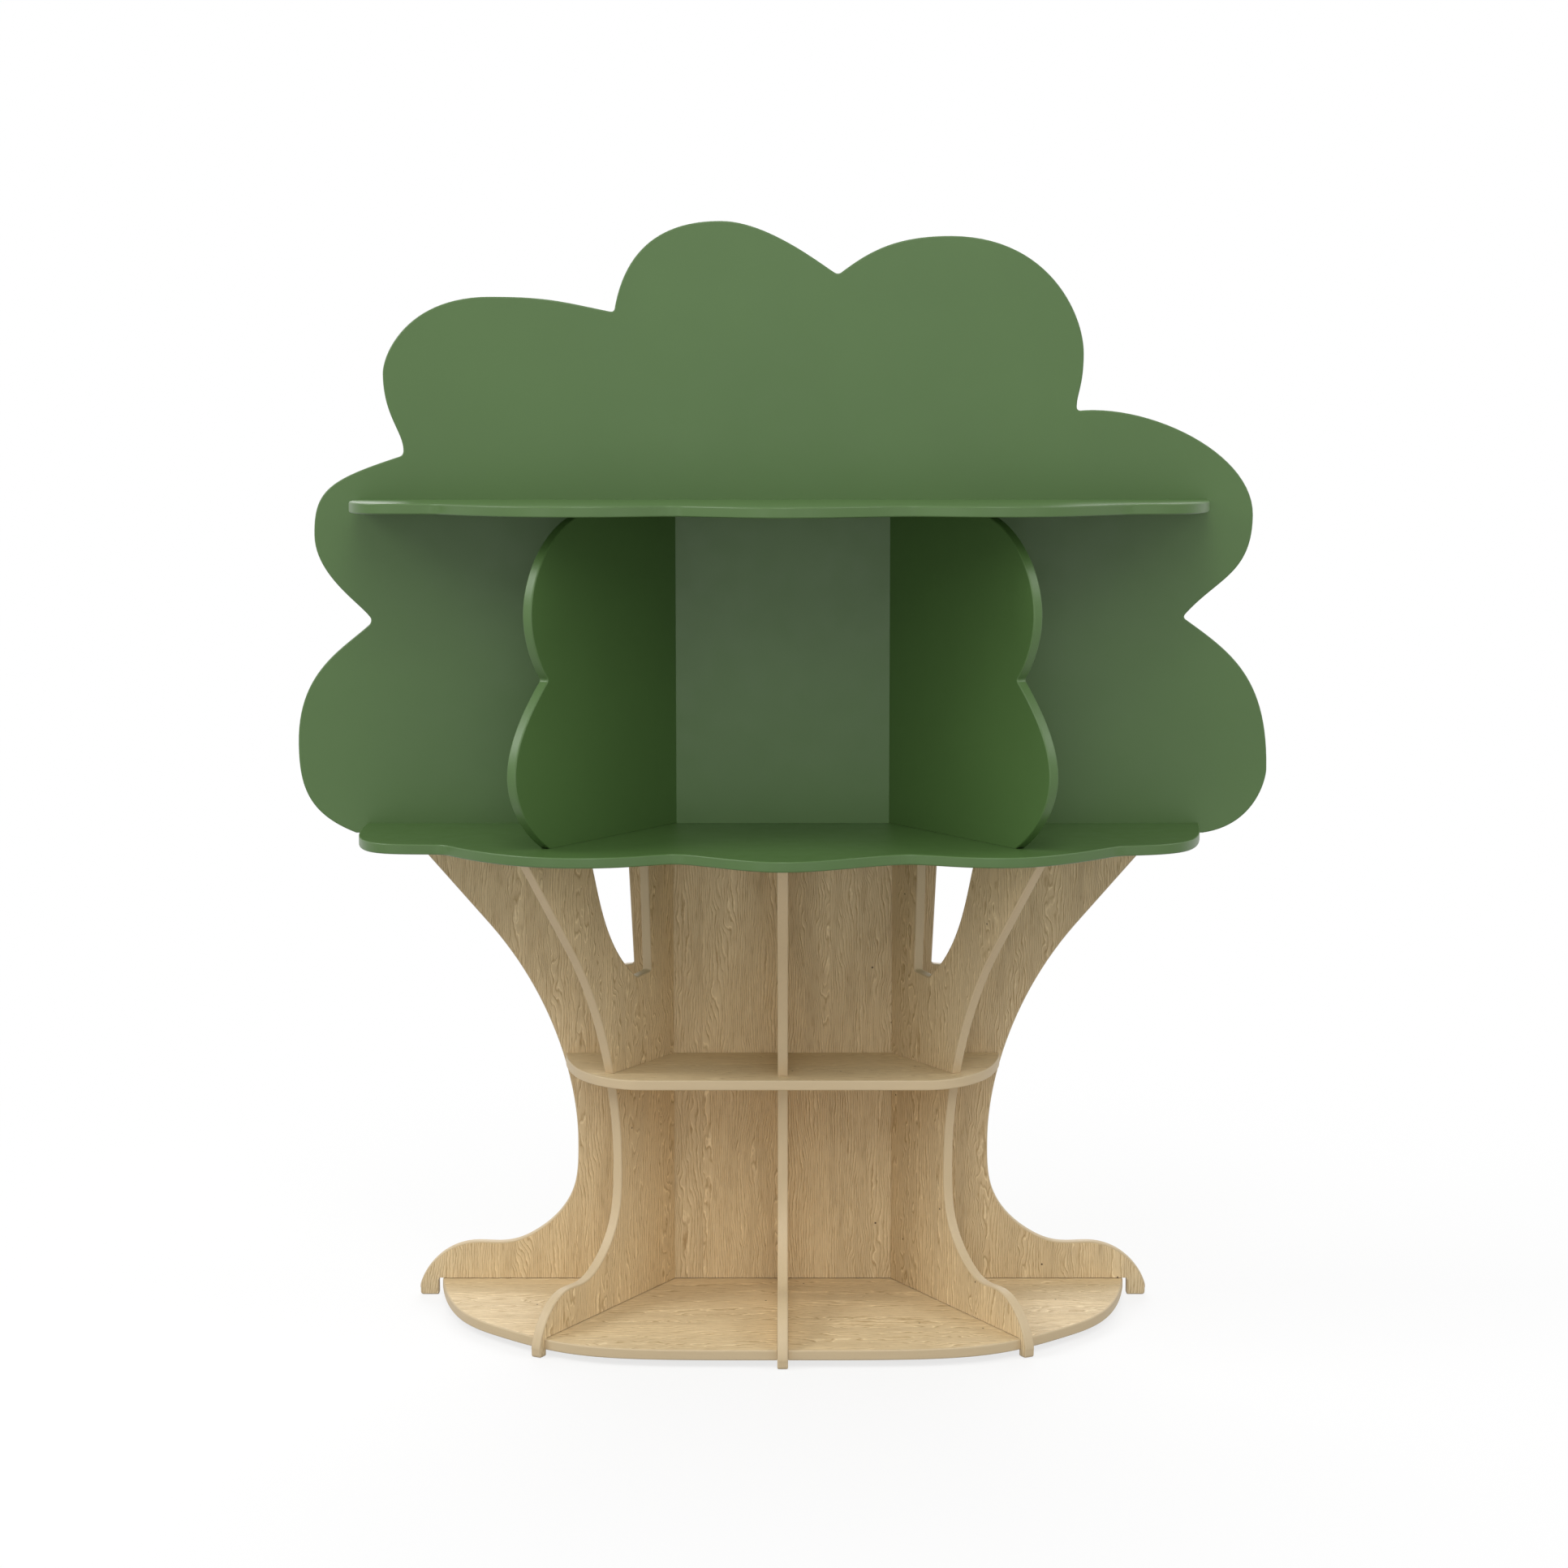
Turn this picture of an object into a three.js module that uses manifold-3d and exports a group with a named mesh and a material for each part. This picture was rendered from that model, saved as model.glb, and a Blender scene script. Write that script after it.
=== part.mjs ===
// Tree shaped bookshelf: a cloud shaped crown of painted boards on a trunk of oak veneered boards.
// Units are millimetres. X runs to the right, Y to the back and Z up; the origin lies on the floor,
// under the centre of the outer box. Every board is one thickness, with eased edges.
import * as THREE from 'three';
import { mergeVertices } from 'three/addons/utils/BufferGeometryUtils.js';
import Module from 'manifold-3d';

const wasm = await Module();
wasm.setup();

// Boards
const boardThickness = 15;
const edgeEase = 1.6;
const jointGap = 0.3;
const overrun = 4;

// Heights: the base shelf hangs clear of the floor, and two equal bays lie under the crown
const floorGap = 10;
const lowerBay = 333;
const crownBay = 465;
const crownHeight = 899;
const baseTop = floorGap + boardThickness;
const middleUnderside = baseTop + lowerBay;
const middleTop = middleUnderside + boardThickness;
const seamHeight = middleTop + lowerBay;
const crownFloor = seamHeight + boardThickness;
const upperUnderside = crownFloor + crownBay;
const upperTop = upperUnderside + boardThickness;
const crownTop = seamHeight + crownHeight;

// Plan sizes: widths run across the whole piece, depths run forward from the front of the back boards
const crownWidth = 1438;
const crownShelfWidth = 1238;
const upperShelfWidth = 1252;
const crownShelfDepth = 410;
const middleWidth = 650;
const middleDepth = 198;
const baseWidth = 1030;
const baseDepth = 366;

// Trunk: half width of the centre bay, splay of the outer fins and the reach of each outline
const trunkBayHalf = 163;
const finSplay = THREE.MathUtils.degToRad(61);
const limbReach = 386;
const backWaist = 136.8;
const finWaist = 147;
const backHook = 28;
const finHook = 17;
const heelCorner = 3;
const toeCorner = 5;
const toeStraight = 10;
// How far each foot reaches past the edge of the base shelf
const backOverhang = 33.9;
const sideOverhang = 13.4;
const centreOverhang = 11;

// Slit between stem and branch: how far its mouth starts behind the waist, its mouth and its depth
const slitSetback = 76;
const slitMouth = 157.5;
const slitDepth = 201;

// Crown dividers
const dividerBayHalf = 158;
const dividerSplay = THREE.MathUtils.degToRad(59);
const dividerReach = 402;

// Small corners of the outlines
const lobeCusp = 6;
const shelfCusp = 14;
const dividerCusp = 4;
const slitCorner = 4;

// Countersunk screws: the base screws and the rear screws are one kind, the plate screws another
const screwShankRadius = 2;
const screwHeadRadius = 4;
const screwHeadDepth = 2.4;
const screwLength = 42;
const screwTip = 5;
const plateScrewShankRadius = 1.6;
const plateScrewHeadRadius = 3.1;
const plateScrewHeadDepth = 1.5;
const plateScrewLength = 11;
const plateScrewTip = 2.5;
const socketShare = 0.42;
const screwGap = 0.15;
const screwRun = 1;

// Beech dowels, blind in both boards
const dowelRadius = 4;
const dowelLength = 30;
const dowelChamfer = 1;
const dowelShelfShare = 0.6;

// Flat steel joining plates, let into the back of the crown and trunk boards across their seam
const plateWidth = 26;
const plateHeight = 110;
const plateThickness = 2;
const plateCorner = 4;
const platePlace = 450;
const plateHoleShares = [-0.39, -0.17, 0.17, 0.39];

// Steps along each kind of curve
const lobeSteps = 10;
const limbSteps = 9;
const shelfSteps = 6;
const cornerSteps = 3;
const slitSteps = 7;
const turnSteps = 10;

// Worked out from the sizes above
const overallDepth = crownShelfDepth + boardThickness;
const backRear = overallDepth / 2;
const backFront = backRear - boardThickness;
const trunkRoot = trunkBayHalf + boardThickness / 2 / Math.sin(finSplay);
const dividerRoot = dividerBayHalf + boardThickness / 2 / Math.sin(dividerSplay);
const backToe = baseWidth / 2 - trunkRoot + backOverhang;

// Crown outline, from its lower left corner clockwise: shares of the crown's width and height.
// Each row is one curve: two handles, then its end; a cusp row ends in a rounded notch.
const crownStartShare = [-0.442, 0];
const crownLobeShares = [
  { handles: [[-0.492, 0.0315], [-0.5, 0.078]], end: [-0.5, 0.148] },
  { handles: [[-0.5, 0.271], [-0.4515, 0.3055]], end: [-0.4225, 0.349], cusp: true },
  { handles: [[-0.4195, 0.367], [-0.48, 0.4165]], end: [-0.48, 0.492] },
  { handles: [[-0.48, 0.5675], [-0.4635, 0.583]], end: [-0.388, 0.622], cusp: true },
  { handles: [[-0.384, 0.657], [-0.4075, 0.68]], end: [-0.4075, 0.754] },
  { handles: [[-0.4075, 0.788], [-0.381, 0.8785]], end: [-0.298, 0.8785] },
  { handles: [[-0.237, 0.8785], [-0.2245, 0.8705]], end: [-0.1715, 0.8535], cusp: true },
  { handles: [[-0.1595, 0.975], [-0.108, 1]], end: [-0.063, 1] },
  { handles: [[-0.0115, 1], [0.049, 0.9175]], end: [0.0565, 0.914], cusp: true },
  { handles: [[0.0875, 0.952], [0.1145, 0.976]], end: [0.1705, 0.976] },
  { handles: [[0.269, 0.976], [0.3065, 0.852]], end: [0.3065, 0.786] },
  { handles: [[0.3065, 0.7295], [0.299, 0.7225]], end: [0.3, 0.6945], cusp: true },
  { handles: [[0.373, 0.7075], [0.4815, 0.6265]], end: [0.4815, 0.5245] },
  { handles: [[0.4815, 0.426], [0.445, 0.422]], end: [0.411, 0.3575], cusp: true },
  { handles: [[0.461, 0.3005], [0.5, 0.2605]], end: [0.5, 0.1065] },
  { handles: [[0.5, 0.0905], [0.49, 0.0125]], end: [0.435, 0] },
];

// Front edge of the two crown shelves, from left to right: shares of the shelf's width and depth
const shelfStartShare = [-0.5, 0];
const shelfLobeShares = [
  { handles: [[-0.5035, 0.643], [-0.4575, 0.55]], end: [-0.387, 0.5755], cusp: true },
  { handles: [[-0.3515, 0.732], [-0.299, 0.907]], end: [-0.226, 0.907] },
  { handles: [[-0.1735, 0.907], [-0.1495, 0.829]], end: [-0.121, 0.8025], cusp: true },
  { handles: [[-0.085, 0.8415], [-0.0445, 1]], end: [0, 1] },
  { handles: [[0.0485, 1], [0.093, 0.8415]], end: [0.142, 0.812], cusp: true },
  { handles: [[0.1735, 0.834], [0.198, 0.9]], end: [0.2425, 0.9] },
  { handles: [[0.299, 0.9], [0.3435, 0.732]], end: [0.3845, 0.607], cusp: true },
  { handles: [[0.4645, 0.566], [0.4845, 0.5245]], end: [0.5, 0] },
];

// Right half of the middle and base shelves: shares of the half width and of the depth
const middleStartShare = [0.631, 1];
const middleCurveShares = [
  { handles: [[0.769, 1], [0.892, 0.7575]], end: [0.9445, 0.505] },
  { handles: [[0.9785, 0.328], [1, 0.1515]], end: [1, 0] },
];
const baseStartShare = [0.116, 1];
const baseCurveShares = [
  { handles: [[0.518, 1], [0.5925, 0.9635]], end: [0.7975, 0.683] },
  { handles: [[0.878, 0.573], [0.954, 0.452]], end: [1, 0] },
];

// Trunk limb, from its straight top down to the waist: shares of the way from waist to limb tip
// across, and of the seam's height up
const limbStartShare = [0.515, 0.803];
const limbCurveShares = [{ handles: [[0.1225, 0.641], [0, 0.452]], end: [0, 0.34] }];
// Trunk foot, from the waist to the toe: shares of the way from waist to toe, and of the height
const footStartShare = [0, 0.333];
const footCurveShares = [
  { handles: [[0, 0.268], [0, 0.2095]], end: [0.206, 0.154] },
  { handles: [[0.4025, 0.104], [0.492, 0.117]], end: [0.6355, 0.1165] },
];
const instepHandleShares = [[0.904, 0.115], [1.019, 0.026]];
// Slit, from the branch's side of its mouth down to the tip: shares of its mouth and its depth
const slitStartShare = [1, 1];
const slitCurveShares = [{ handles: [[0.832, 0.743], [0.796, 0.305]], end: [0.184, 0] }];
const slitHeelShare = [-0.062, 0.0175];

// Front edge of a crown divider, from the top down: shares of its reach and of the bay's height
const dividerStartShare = [0.577, 1];
const dividerCurveShares = [
  { handles: [[0.7215, 0.983], [0.898, 0.858]], end: [0.898, 0.703] },
  { handles: [[0.898, 0.6215], [0.841, 0.546]], end: [0.7985, 0.5085], cusp: true },
  { handles: [[0.8705, 0.4495], [1, 0.342]], end: [1, 0.23] },
  { handles: [[1, 0.1375], [0.908, 0.0515]], end: [0.801, 0] },
];

// Where the hidden fastenings sit: shares of the size that carries them
const lapShare = 0.5;
const finScrewShares = [0.19, 0.75];
const backScrewShare = 0.64;
const stemScrewShares = [0.2, 0.42, 0.8];
const middleScrewShare = 0.5;
const crownScrewShares = [0.075, 0.3];
const finDowelShares = [0.09, 0.78];
const dividerFootDowelShares = [0.19, 0.5];
const dividerHeadDowelShares = [0.14, 0.42];

const oak = new THREE.MeshStandardMaterial({ name: 'oak_veneer', color: '#c3a77a', roughness: 0.55 });
const green = new THREE.MeshStandardMaterial({ name: 'green_paint', color: '#56733f', roughness: 0.4 });
const steel = new THREE.MeshStandardMaterial({
  name: 'zinc_steel',
  color: '#b4b6b8',
  roughness: 0.35,
  metalness: 0.9,
});
const beech = new THREE.MeshStandardMaterial({ name: 'beech', color: '#cfa97a', roughness: 0.7 });

// Outlines

// Points of a chain of curves; place turns a pair of shares into a point
function curvePoints(start, curves, place, steps, cuspSize = 0) {
  const nodes = [{ at: place(start) }];
  let from = place(start);
  for (const curve of curves) {
    const [first, second] = curve.handles.map(place);
    const end = place(curve.end);
    const points = new THREE.CubicBezierCurve(from, first, second, end).getPoints(steps).slice(1);
    points.forEach((point) => nodes.push({ at: point }));
    if (curve.cusp) nodes.at(-1).ease = cuspSize;
    from = end;
  }
  return nodes;
}

// A corner of an outline, rounded over the given length
function corner(x, y, ease = 0) {
  return { at: new THREE.Vector2(x, y), ease };
}

// Replaces each eased node by a short arc and closes the outline as a shape
function closeOutline(nodes) {
  const points = [];
  nodes.forEach((node, index) => {
    if (!node.ease) {
      points.push(node.at);
      return;
    }
    const before = nodes.at(index - 1).at;
    const after = nodes[(index + 1) % nodes.length].at;
    const start = before.clone().sub(node.at).setLength(node.ease).add(node.at);
    const end = after.clone().sub(node.at).setLength(node.ease).add(node.at);
    points.push(...new THREE.QuadraticBezierCurve(start, node.at, end).getPoints(cornerSteps));
  });
  return new THREE.Shape(points);
}

// Left half of a list of nodes: mirrored in x and walked the other way
function mirrored(nodes) {
  return nodes.map(({ at, ease }) => corner(-at.x, at.y, ease)).reverse();
}

// Solids

function toSolid(geometry) {
  const bare = geometry.clone();
  bare.deleteAttribute('normal');
  bare.deleteAttribute('uv');
  const merged = mergeVertices(bare);
  const corners = merged.index.array;
  const kept = [];
  for (let i = 0; i < corners.length; i += 3) {
    const [a, b, c] = corners.slice(i, i + 3);
    if (a !== b && b !== c && c !== a) kept.push(a, b, c);
  }
  return new wasm.Manifold(new wasm.Mesh({
    numProp: 3,
    vertProperties: new Float32Array(merged.attributes.position.array),
    triVerts: new Uint32Array(kept),
  }));
}

function toGeometry(solid) {
  const mesh = solid.getMesh();
  const indexed = new THREE.BufferGeometry();
  indexed.setAttribute('position', new THREE.BufferAttribute(mesh.vertProperties, mesh.numProp));
  indexed.setIndex(new THREE.BufferAttribute(mesh.triVerts, 1));
  const geometry = indexed.toNonIndexed();
  geometry.computeVertexNormals();
  return geometry;
}

// A board of the full thickness with eased edges, from z = 0 up in its own frame
function boardGeometry(shape) {
  const geometry = new THREE.ExtrudeGeometry(shape, {
    depth: boardThickness - 2 * edgeEase,
    bevelEnabled: true,
    bevelThickness: edgeEase,
    bevelSize: edgeEase,
    bevelOffset: -edgeEase,
    bevelSegments: 1,
  });
  return geometry.translate(0, 0, edgeEase);
}

// A block between two corners, as a cutter
function block(low, high) {
  const size = high.clone().sub(low);
  const middle = high.clone().add(low).multiplyScalar(0.5);
  return toSolid(new THREE.BoxGeometry(size.x, size.y, size.z).translate(middle.x, middle.y, middle.z));
}

function cut(solid, cutters) {
  return cutters.reduce((rest, cutter) => rest.subtract(cutter), solid);
}

// Board that stands across the object: outline x stays x, outline y becomes height
function standAcross(shape) {
  return boardGeometry(shape).rotateX(Math.PI / 2).translate(0, backRear, 0);
}

// Board that lies flat with its top at the given height: outline y becomes depth, forward
function layFlat(shape, top) {
  return boardGeometry(shape)
    .rotateX(Math.PI)
    .translate(0, backFront, top);
}

// Where a fin's or divider's plane runs: root on the back boards, and its heading
function planeOf(side, root, splay) {
  const heading = side === 0 ? -Math.PI / 2 : -splay;
  return { root: side * root, heading: side < 0 ? -Math.PI - heading : heading };
}

// Point of such a plane at a reach from the back boards and a height
function planePoint(plane, reach, height) {
  return new THREE.Vector3(
    plane.root + reach * Math.cos(plane.heading),
    backFront + reach * Math.sin(plane.heading),
    height,
  );
}

// Stands a geometry, drawn as reach across, height up and thickness centred, into its plane
function standInPlane(geometry, plane) {
  return geometry
    .rotateX(Math.PI / 2)
    .rotateZ(plane.heading)
    .translate(plane.root, backFront, 0);
}

function finBoard(shape, plane) {
  return standInPlane(boardGeometry(shape).translate(0, 0, -boardThickness / 2), plane);
}

// A slot or notch cutter in a plane: a block from one reach and height to another
function planeBlock(plane, reachFrom, reachTo, bottom, top, width) {
  const geometry = new THREE.BoxGeometry(reachTo - reachFrom, top - bottom, width);
  geometry.translate((reachFrom + reachTo) / 2, (bottom + top) / 2, 0);
  return toSolid(standInPlane(geometry, plane));
}

// Everything behind the front of the back boards, and everything above or below a height
const farAway = crownWidth + crownTop;
const behindBack = block(
  new THREE.Vector3(-farAway, backFront - jointGap, -farAway),
  new THREE.Vector3(farAway, farAway, farAway),
);

function above(height) {
  return block(
    new THREE.Vector3(-farAway, -farAway, height),
    new THREE.Vector3(farAway, farAway, farAway),
  );
}

function below(height) {
  return block(
    new THREE.Vector3(-farAway, -farAway, -farAway),
    new THREE.Vector3(farAway, farAway, height),
  );
}

// Fastenings: each is a lathe profile along +z, with a wider twin that cuts its hole

function turned(profile, steps) {
  return new THREE.LatheGeometry(profile.map(([r, z]) => new THREE.Vector2(r, z)), steps)
    .rotateX(Math.PI / 2)
    .scale(1, -1, 1);
}

function turnedSolid(profile, steps) {
  const solid = toSolid(turned(profile, steps));
  return solid.volume() < 0 ? toSolid(turned([...profile].reverse(), steps)) : solid;
}

const longScrew = {
  shank: screwShankRadius,
  head: screwHeadRadius,
  sink: screwHeadDepth,
  length: screwLength,
  tip: screwTip,
};
const plateScrew = {
  shank: plateScrewShankRadius,
  head: plateScrewHeadRadius,
  sink: plateScrewHeadDepth,
  length: plateScrewLength,
  tip: plateScrewTip,
};

// Countersunk screw with a round drive socket; its head lies just under z = 0
function screwSolid({ shank, head, sink, length, tip }) {
  const socket = head * socketShare;
  return turnedSolid([
    [0, sink * socketShare + jointGap],
    [socket, sink * socketShare + jointGap],
    [socket, jointGap],
    [head - screwGap, jointGap],
    [shank, sink + jointGap],
    [shank, length - tip],
    [0, length],
  ], turnSteps);
}

function screwHole({ shank, head, sink, length, tip }) {
  return turnedSolid([
    [0, -screwRun],
    [head + screwGap, -screwRun],
    [head + screwGap, jointGap - screwGap],
    [shank + screwGap, sink + jointGap],
    [shank + screwGap, length - tip + screwGap],
    [0, length + screwRun],
  ], turnSteps);
}

function dowelSolid() {
  return turnedSolid([
    [0, 0],
    [dowelRadius - dowelChamfer, 0],
    [dowelRadius, dowelChamfer],
    [dowelRadius, dowelLength - dowelChamfer],
    [dowelRadius - dowelChamfer, dowelLength],
    [0, dowelLength],
  ], turnSteps);
}

function dowelHole() {
  return turnedSolid([
    [0, -jointGap],
    [dowelRadius + screwGap, -jointGap],
    [dowelRadius + screwGap, dowelLength + jointGap],
    [0, dowelLength + jointGap],
  ], turnSteps);
}

// A fastening placed at a point: turn is 'up' from below, 'in' from the back
function placeSolid(solid, at, turn) {
  const turnedTo = turn === 'in' ? solid.rotate([90, 0, 0]) : solid;
  return turnedTo.translate([at.x, at.y, at.z]);
}

const fittings = [];

// Adds a fastening to the list with the boards that its hole goes through
function fit(name, solid, hole, at, turn, boards, material) {
  fittings.push({
    name,
    solid: placeSolid(solid, at, turn),
    hole: placeSolid(hole, at, turn),
    boards,
    material,
  });
}

// Boards

function crownBackShape() {
  const place = ([x, y]) => new THREE.Vector2(x * crownWidth, seamHeight + y * crownHeight);
  return closeOutline(curvePoints(crownStartShare, crownLobeShares, place, lobeSteps, lobeCusp));
}

function crownShelfShape(width) {
  const place = ([x, y]) => new THREE.Vector2(x * width, y * crownShelfDepth);
  const front = curvePoints(shelfStartShare, shelfLobeShares, place, shelfSteps, shelfCusp);
  const half = width / 2;
  return closeOutline([corner(-half, -overrun), ...front, corner(half, -overrun)]);
}

function symmetricShelfShape(start, curves, width, depth, rear) {
  const place = ([x, y]) => new THREE.Vector2(x * width / 2, y * depth);
  const right = curvePoints(start, curves, place, limbSteps);
  right.push(corner(width / 2, rear));
  return closeOutline([...right, ...mirrored(right)]);
}

// One side of the trunk, from the hook's heel round the toe, up the limb and down the slit
function trunkSide(waist, toe, hookWidth, bottom) {
  const hook = toe - hookWidth;
  const limb = ([x, y]) => new THREE.Vector2(waist + x * (limbReach - waist), y * seamHeight);
  const foot = ([x, y]) => new THREE.Vector2(waist + x * (toe - waist), y * seamHeight);
  const mouth = waist - slitSetback;
  const fork = ([x, y]) => new THREE.Vector2(mouth + x * slitMouth, seamHeight + (y - 1) * slitDepth);
  const instep = { handles: instepHandleShares, end: [1, toeStraight / seamHeight] };
  const limbDown = curvePoints(limbStartShare, limbCurveShares, limb, limbSteps);
  const footDown = curvePoints(footStartShare, [...footCurveShares, instep], foot, limbSteps);
  const outside = [...limbDown, ...footDown].reverse();
  const tip = limbDown[0].at;
  const lean = (limbReach - tip.x) / (seamHeight - tip.y);
  const slit = curvePoints(slitStartShare, slitCurveShares, fork, slitSteps);
  slit.at(-1).ease = slitCorner;
  const heel = fork(slitHeelShare);
  return [
    corner(hook, bottom),
    corner(hook, 0, heelCorner),
    corner(toe, 0, toeCorner),
    ...outside,
    corner(limbReach + overrun * lean, seamHeight + overrun),
    corner(mouth + slitMouth, seamHeight + overrun),
    ...slit,
    corner(heel.x, heel.y, slitCorner),
    corner(mouth, seamHeight + overrun),
  ];
}

function trunkBackShape() {
  const right = trunkSide(backWaist, backToe, backHook, baseTop - overrun);
  right.forEach((node) => node.at.setX(node.at.x + trunkRoot));
  return closeOutline([...right, ...mirrored(right)]);
}

function finShape(toe) {
  const side = trunkSide(finWaist, toe, finHook, baseTop - overrun);
  const rear = -boardThickness - overrun;
  return closeOutline([
    ...side,
    corner(rear, seamHeight + overrun),
    corner(rear, baseTop - overrun),
  ]);
}

function dividerShape() {
  const place = ([x, y]) => new THREE.Vector2(x * dividerReach, crownFloor + y * crownBay);
  const front = curvePoints(dividerStartShare, dividerCurveShares, place, shelfSteps, dividerCusp);
  const rear = -boardThickness - overrun;
  const head = front[0].at.x;
  const foot = front.at(-1).at.x;
  return closeOutline([
    corner(rear, upperUnderside + overrun),
    corner(head, upperUnderside + overrun),
    ...front,
    corner(foot, crownFloor - overrun),
    corner(rear, crownFloor - overrun),
  ]);
}

// Reach of a fin's front edge where the middle shelf crosses it
function finReachAtShelf() {
  const limb = ([x, y]) => new THREE.Vector2(finWaist + x * (limbReach - finWaist), y * seamHeight);
  const nodes = curvePoints(limbStartShare, limbCurveShares, limb, limbSteps);
  const level = nodes.find((node) => node.at.y <= middleTop);
  return level.at.x;
}

// Reach at which a fin's plane runs off the front edge of the base shelf
function baseEdgeReach(plane) {
  const place = ([x, y]) => new THREE.Vector2(x * baseWidth / 2, y * baseDepth);
  const right = curvePoints(baseStartShare, baseCurveShares, place, limbSteps);
  const edge = [...mirrored(right), ...right].map((node) => node.at);
  const root = new THREE.Vector2(plane.root, 0);
  const square = new THREE.Vector2(Math.sin(plane.heading), Math.cos(plane.heading));
  const offsets = edge.map((point) => point.clone().sub(root).dot(square));
  const next = offsets.findIndex((offset, index) => offset * offsets.at(index - 1) <= 0 && index > 0);
  const share = offsets[next - 1] / (offsets[next - 1] - offsets[next]);
  return edge[next - 1].clone().lerp(edge[next], share).distanceTo(root);
}

const boards = new Map();

function addBoard(name, solid, material) {
  boards.set(name, { solid, material });
}

const trunkPlanes = {
  trunk_fin_left: planeOf(-1, trunkRoot, finSplay),
  trunk_fin_centre: planeOf(0, trunkRoot, finSplay),
  trunk_fin_right: planeOf(1, trunkRoot, finSplay),
};
const finToes = {
  trunk_fin_left: baseEdgeReach(trunkPlanes.trunk_fin_left) + sideOverhang,
  trunk_fin_centre: baseEdgeReach(trunkPlanes.trunk_fin_centre) + centreOverhang,
  trunk_fin_right: baseEdgeReach(trunkPlanes.trunk_fin_right) + sideOverhang,
};
const dividerPlanes = {
  crown_divider_left: planeOf(-1, dividerRoot, dividerSplay),
  crown_divider_right: planeOf(1, dividerRoot, dividerSplay),
};
const lapReach = finReachAtShelf() * lapShare;
const slotWidth = boardThickness + 2 * jointGap;

function makeTrunkBack() {
  const foot = trunkRoot + backToe - backHook;
  const baseSeat = block(
    new THREE.Vector3(-foot, -farAway, -farAway),
    new THREE.Vector3(foot, farAway, baseTop + jointGap),
  );
  const solid = cut(toSolid(standAcross(trunkBackShape())), [baseSeat, above(seamHeight - jointGap)]);
  addBoard('trunk_back', solid, oak);
}

// Fin: square at the back board, the crown shelf and the base shelf, notched for the middle shelf
function makeFin(name) {
  const plane = trunkPlanes[name];
  const toe = finToes[name];
  const rear = -boardThickness - 2 * overrun;
  const wide = boardThickness + 2 * overrun;
  const baseSeat = planeBlock(plane, rear, toe - finHook, -overrun, baseTop + jointGap, wide);
  const notch = planeBlock(
    plane,
    lapReach,
    farAway,
    middleUnderside - jointGap,
    middleTop + jointGap,
    wide,
  );
  const solid = cut(toSolid(finBoard(finShape(toe), plane)), [
    behindBack,
    above(seamHeight - jointGap),
    baseSeat,
    notch,
  ]);
  addBoard(name, solid, oak);
}

// Middle shelf: slotted from behind where the fins pass
function makeMiddleShelf() {
  const shape = symmetricShelfShape(
    middleStartShare,
    middleCurveShares,
    middleWidth,
    middleDepth,
    -overrun,
  );
  const slots = Object.values(trunkPlanes).map((plane) => planeBlock(
    plane,
    -boardThickness - overrun,
    lapReach + jointGap,
    middleUnderside - overrun,
    middleTop + overrun,
    slotWidth,
  ));
  const solid = cut(toSolid(layFlat(shape, middleTop)), [behindBack, ...slots]);
  addBoard('middle_shelf', solid, oak);
}

// Base shelf: runs under the back board and is notched where the feet hook over its edge
function makeBaseShelf() {
  const shape = symmetricShelfShape(
    baseStartShare,
    baseCurveShares,
    baseWidth,
    baseDepth,
    -boardThickness,
  );
  const notches = Object.entries(trunkPlanes).map(([name, plane]) => planeBlock(
    plane,
    finToes[name] - finHook - jointGap,
    farAway,
    floorGap - overrun,
    baseTop + overrun,
    slotWidth,
  ));
  addBoard('base_shelf', cut(toSolid(layFlat(shape, baseTop)), notches), oak);
}

function makeCrownShelf(name, width, top) {
  addBoard(name, cut(toSolid(layFlat(crownShelfShape(width), top)), [behindBack]), green);
}

function makeDivider(name) {
  const solid = cut(toSolid(finBoard(dividerShape(), dividerPlanes[name])), [
    behindBack,
    above(upperUnderside - jointGap),
    below(crownFloor + jointGap),
  ]);
  addBoard(name, solid, green);
}

// Fastenings in their places

function addBaseScrews() {
  const solid = screwSolid(longScrew);
  const hole = screwHole(longScrew);
  for (const [name, plane] of Object.entries(trunkPlanes)) {
    finScrewShares.forEach((share, index) => {
      const at = planePoint(plane, share * finToes[name], floorGap);
      const label = name.replace('trunk_fin', 'base_screw');
      fit(`${label}_${index + 1}`, solid, hole, at, 'up', ['base_shelf', name], steel);
    });
  }
  for (const [word, side] of [['left', -1], ['right', 1]]) {
    const at = new THREE.Vector3(
      side * backScrewShare * baseWidth / 2,
      backFront + boardThickness / 2,
      floorGap,
    );
    fit(`base_screw_back_${word}`, solid, hole, at, 'up', ['base_shelf', 'trunk_back'], steel);
  }
}

function addRearScrews() {
  const solid = screwSolid(longScrew);
  const hole = screwHole(longScrew);
  stemScrewShares.forEach((share, index) => {
    const at = new THREE.Vector3(0, backRear, share * seamHeight);
    fit(`stem_screw_${index + 1}`, solid, hole, at, 'in', ['trunk_back', 'trunk_fin_centre'], steel);
  });
  const shelves = [
    ['middle_shelf', 'trunk_back', middleTop, trunkRoot, [middleScrewShare]],
    ['crown_shelf', 'crown_back', crownFloor, crownShelfWidth, crownScrewShares],
    ['upper_shelf', 'crown_back', upperTop, upperShelfWidth, crownScrewShares],
  ];
  for (const [shelf, back, top, span, shares] of shelves) {
    for (const [word, side] of [['left', -1], ['right', 1]]) {
      shares.forEach((share, index) => {
        const at = new THREE.Vector3(side * share * span, backRear, top - boardThickness / 2);
        fit(`${shelf}_screw_${word}_${index + 1}`, solid, hole, at, 'in', [back, shelf], steel);
      });
    }
  }
}

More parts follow.
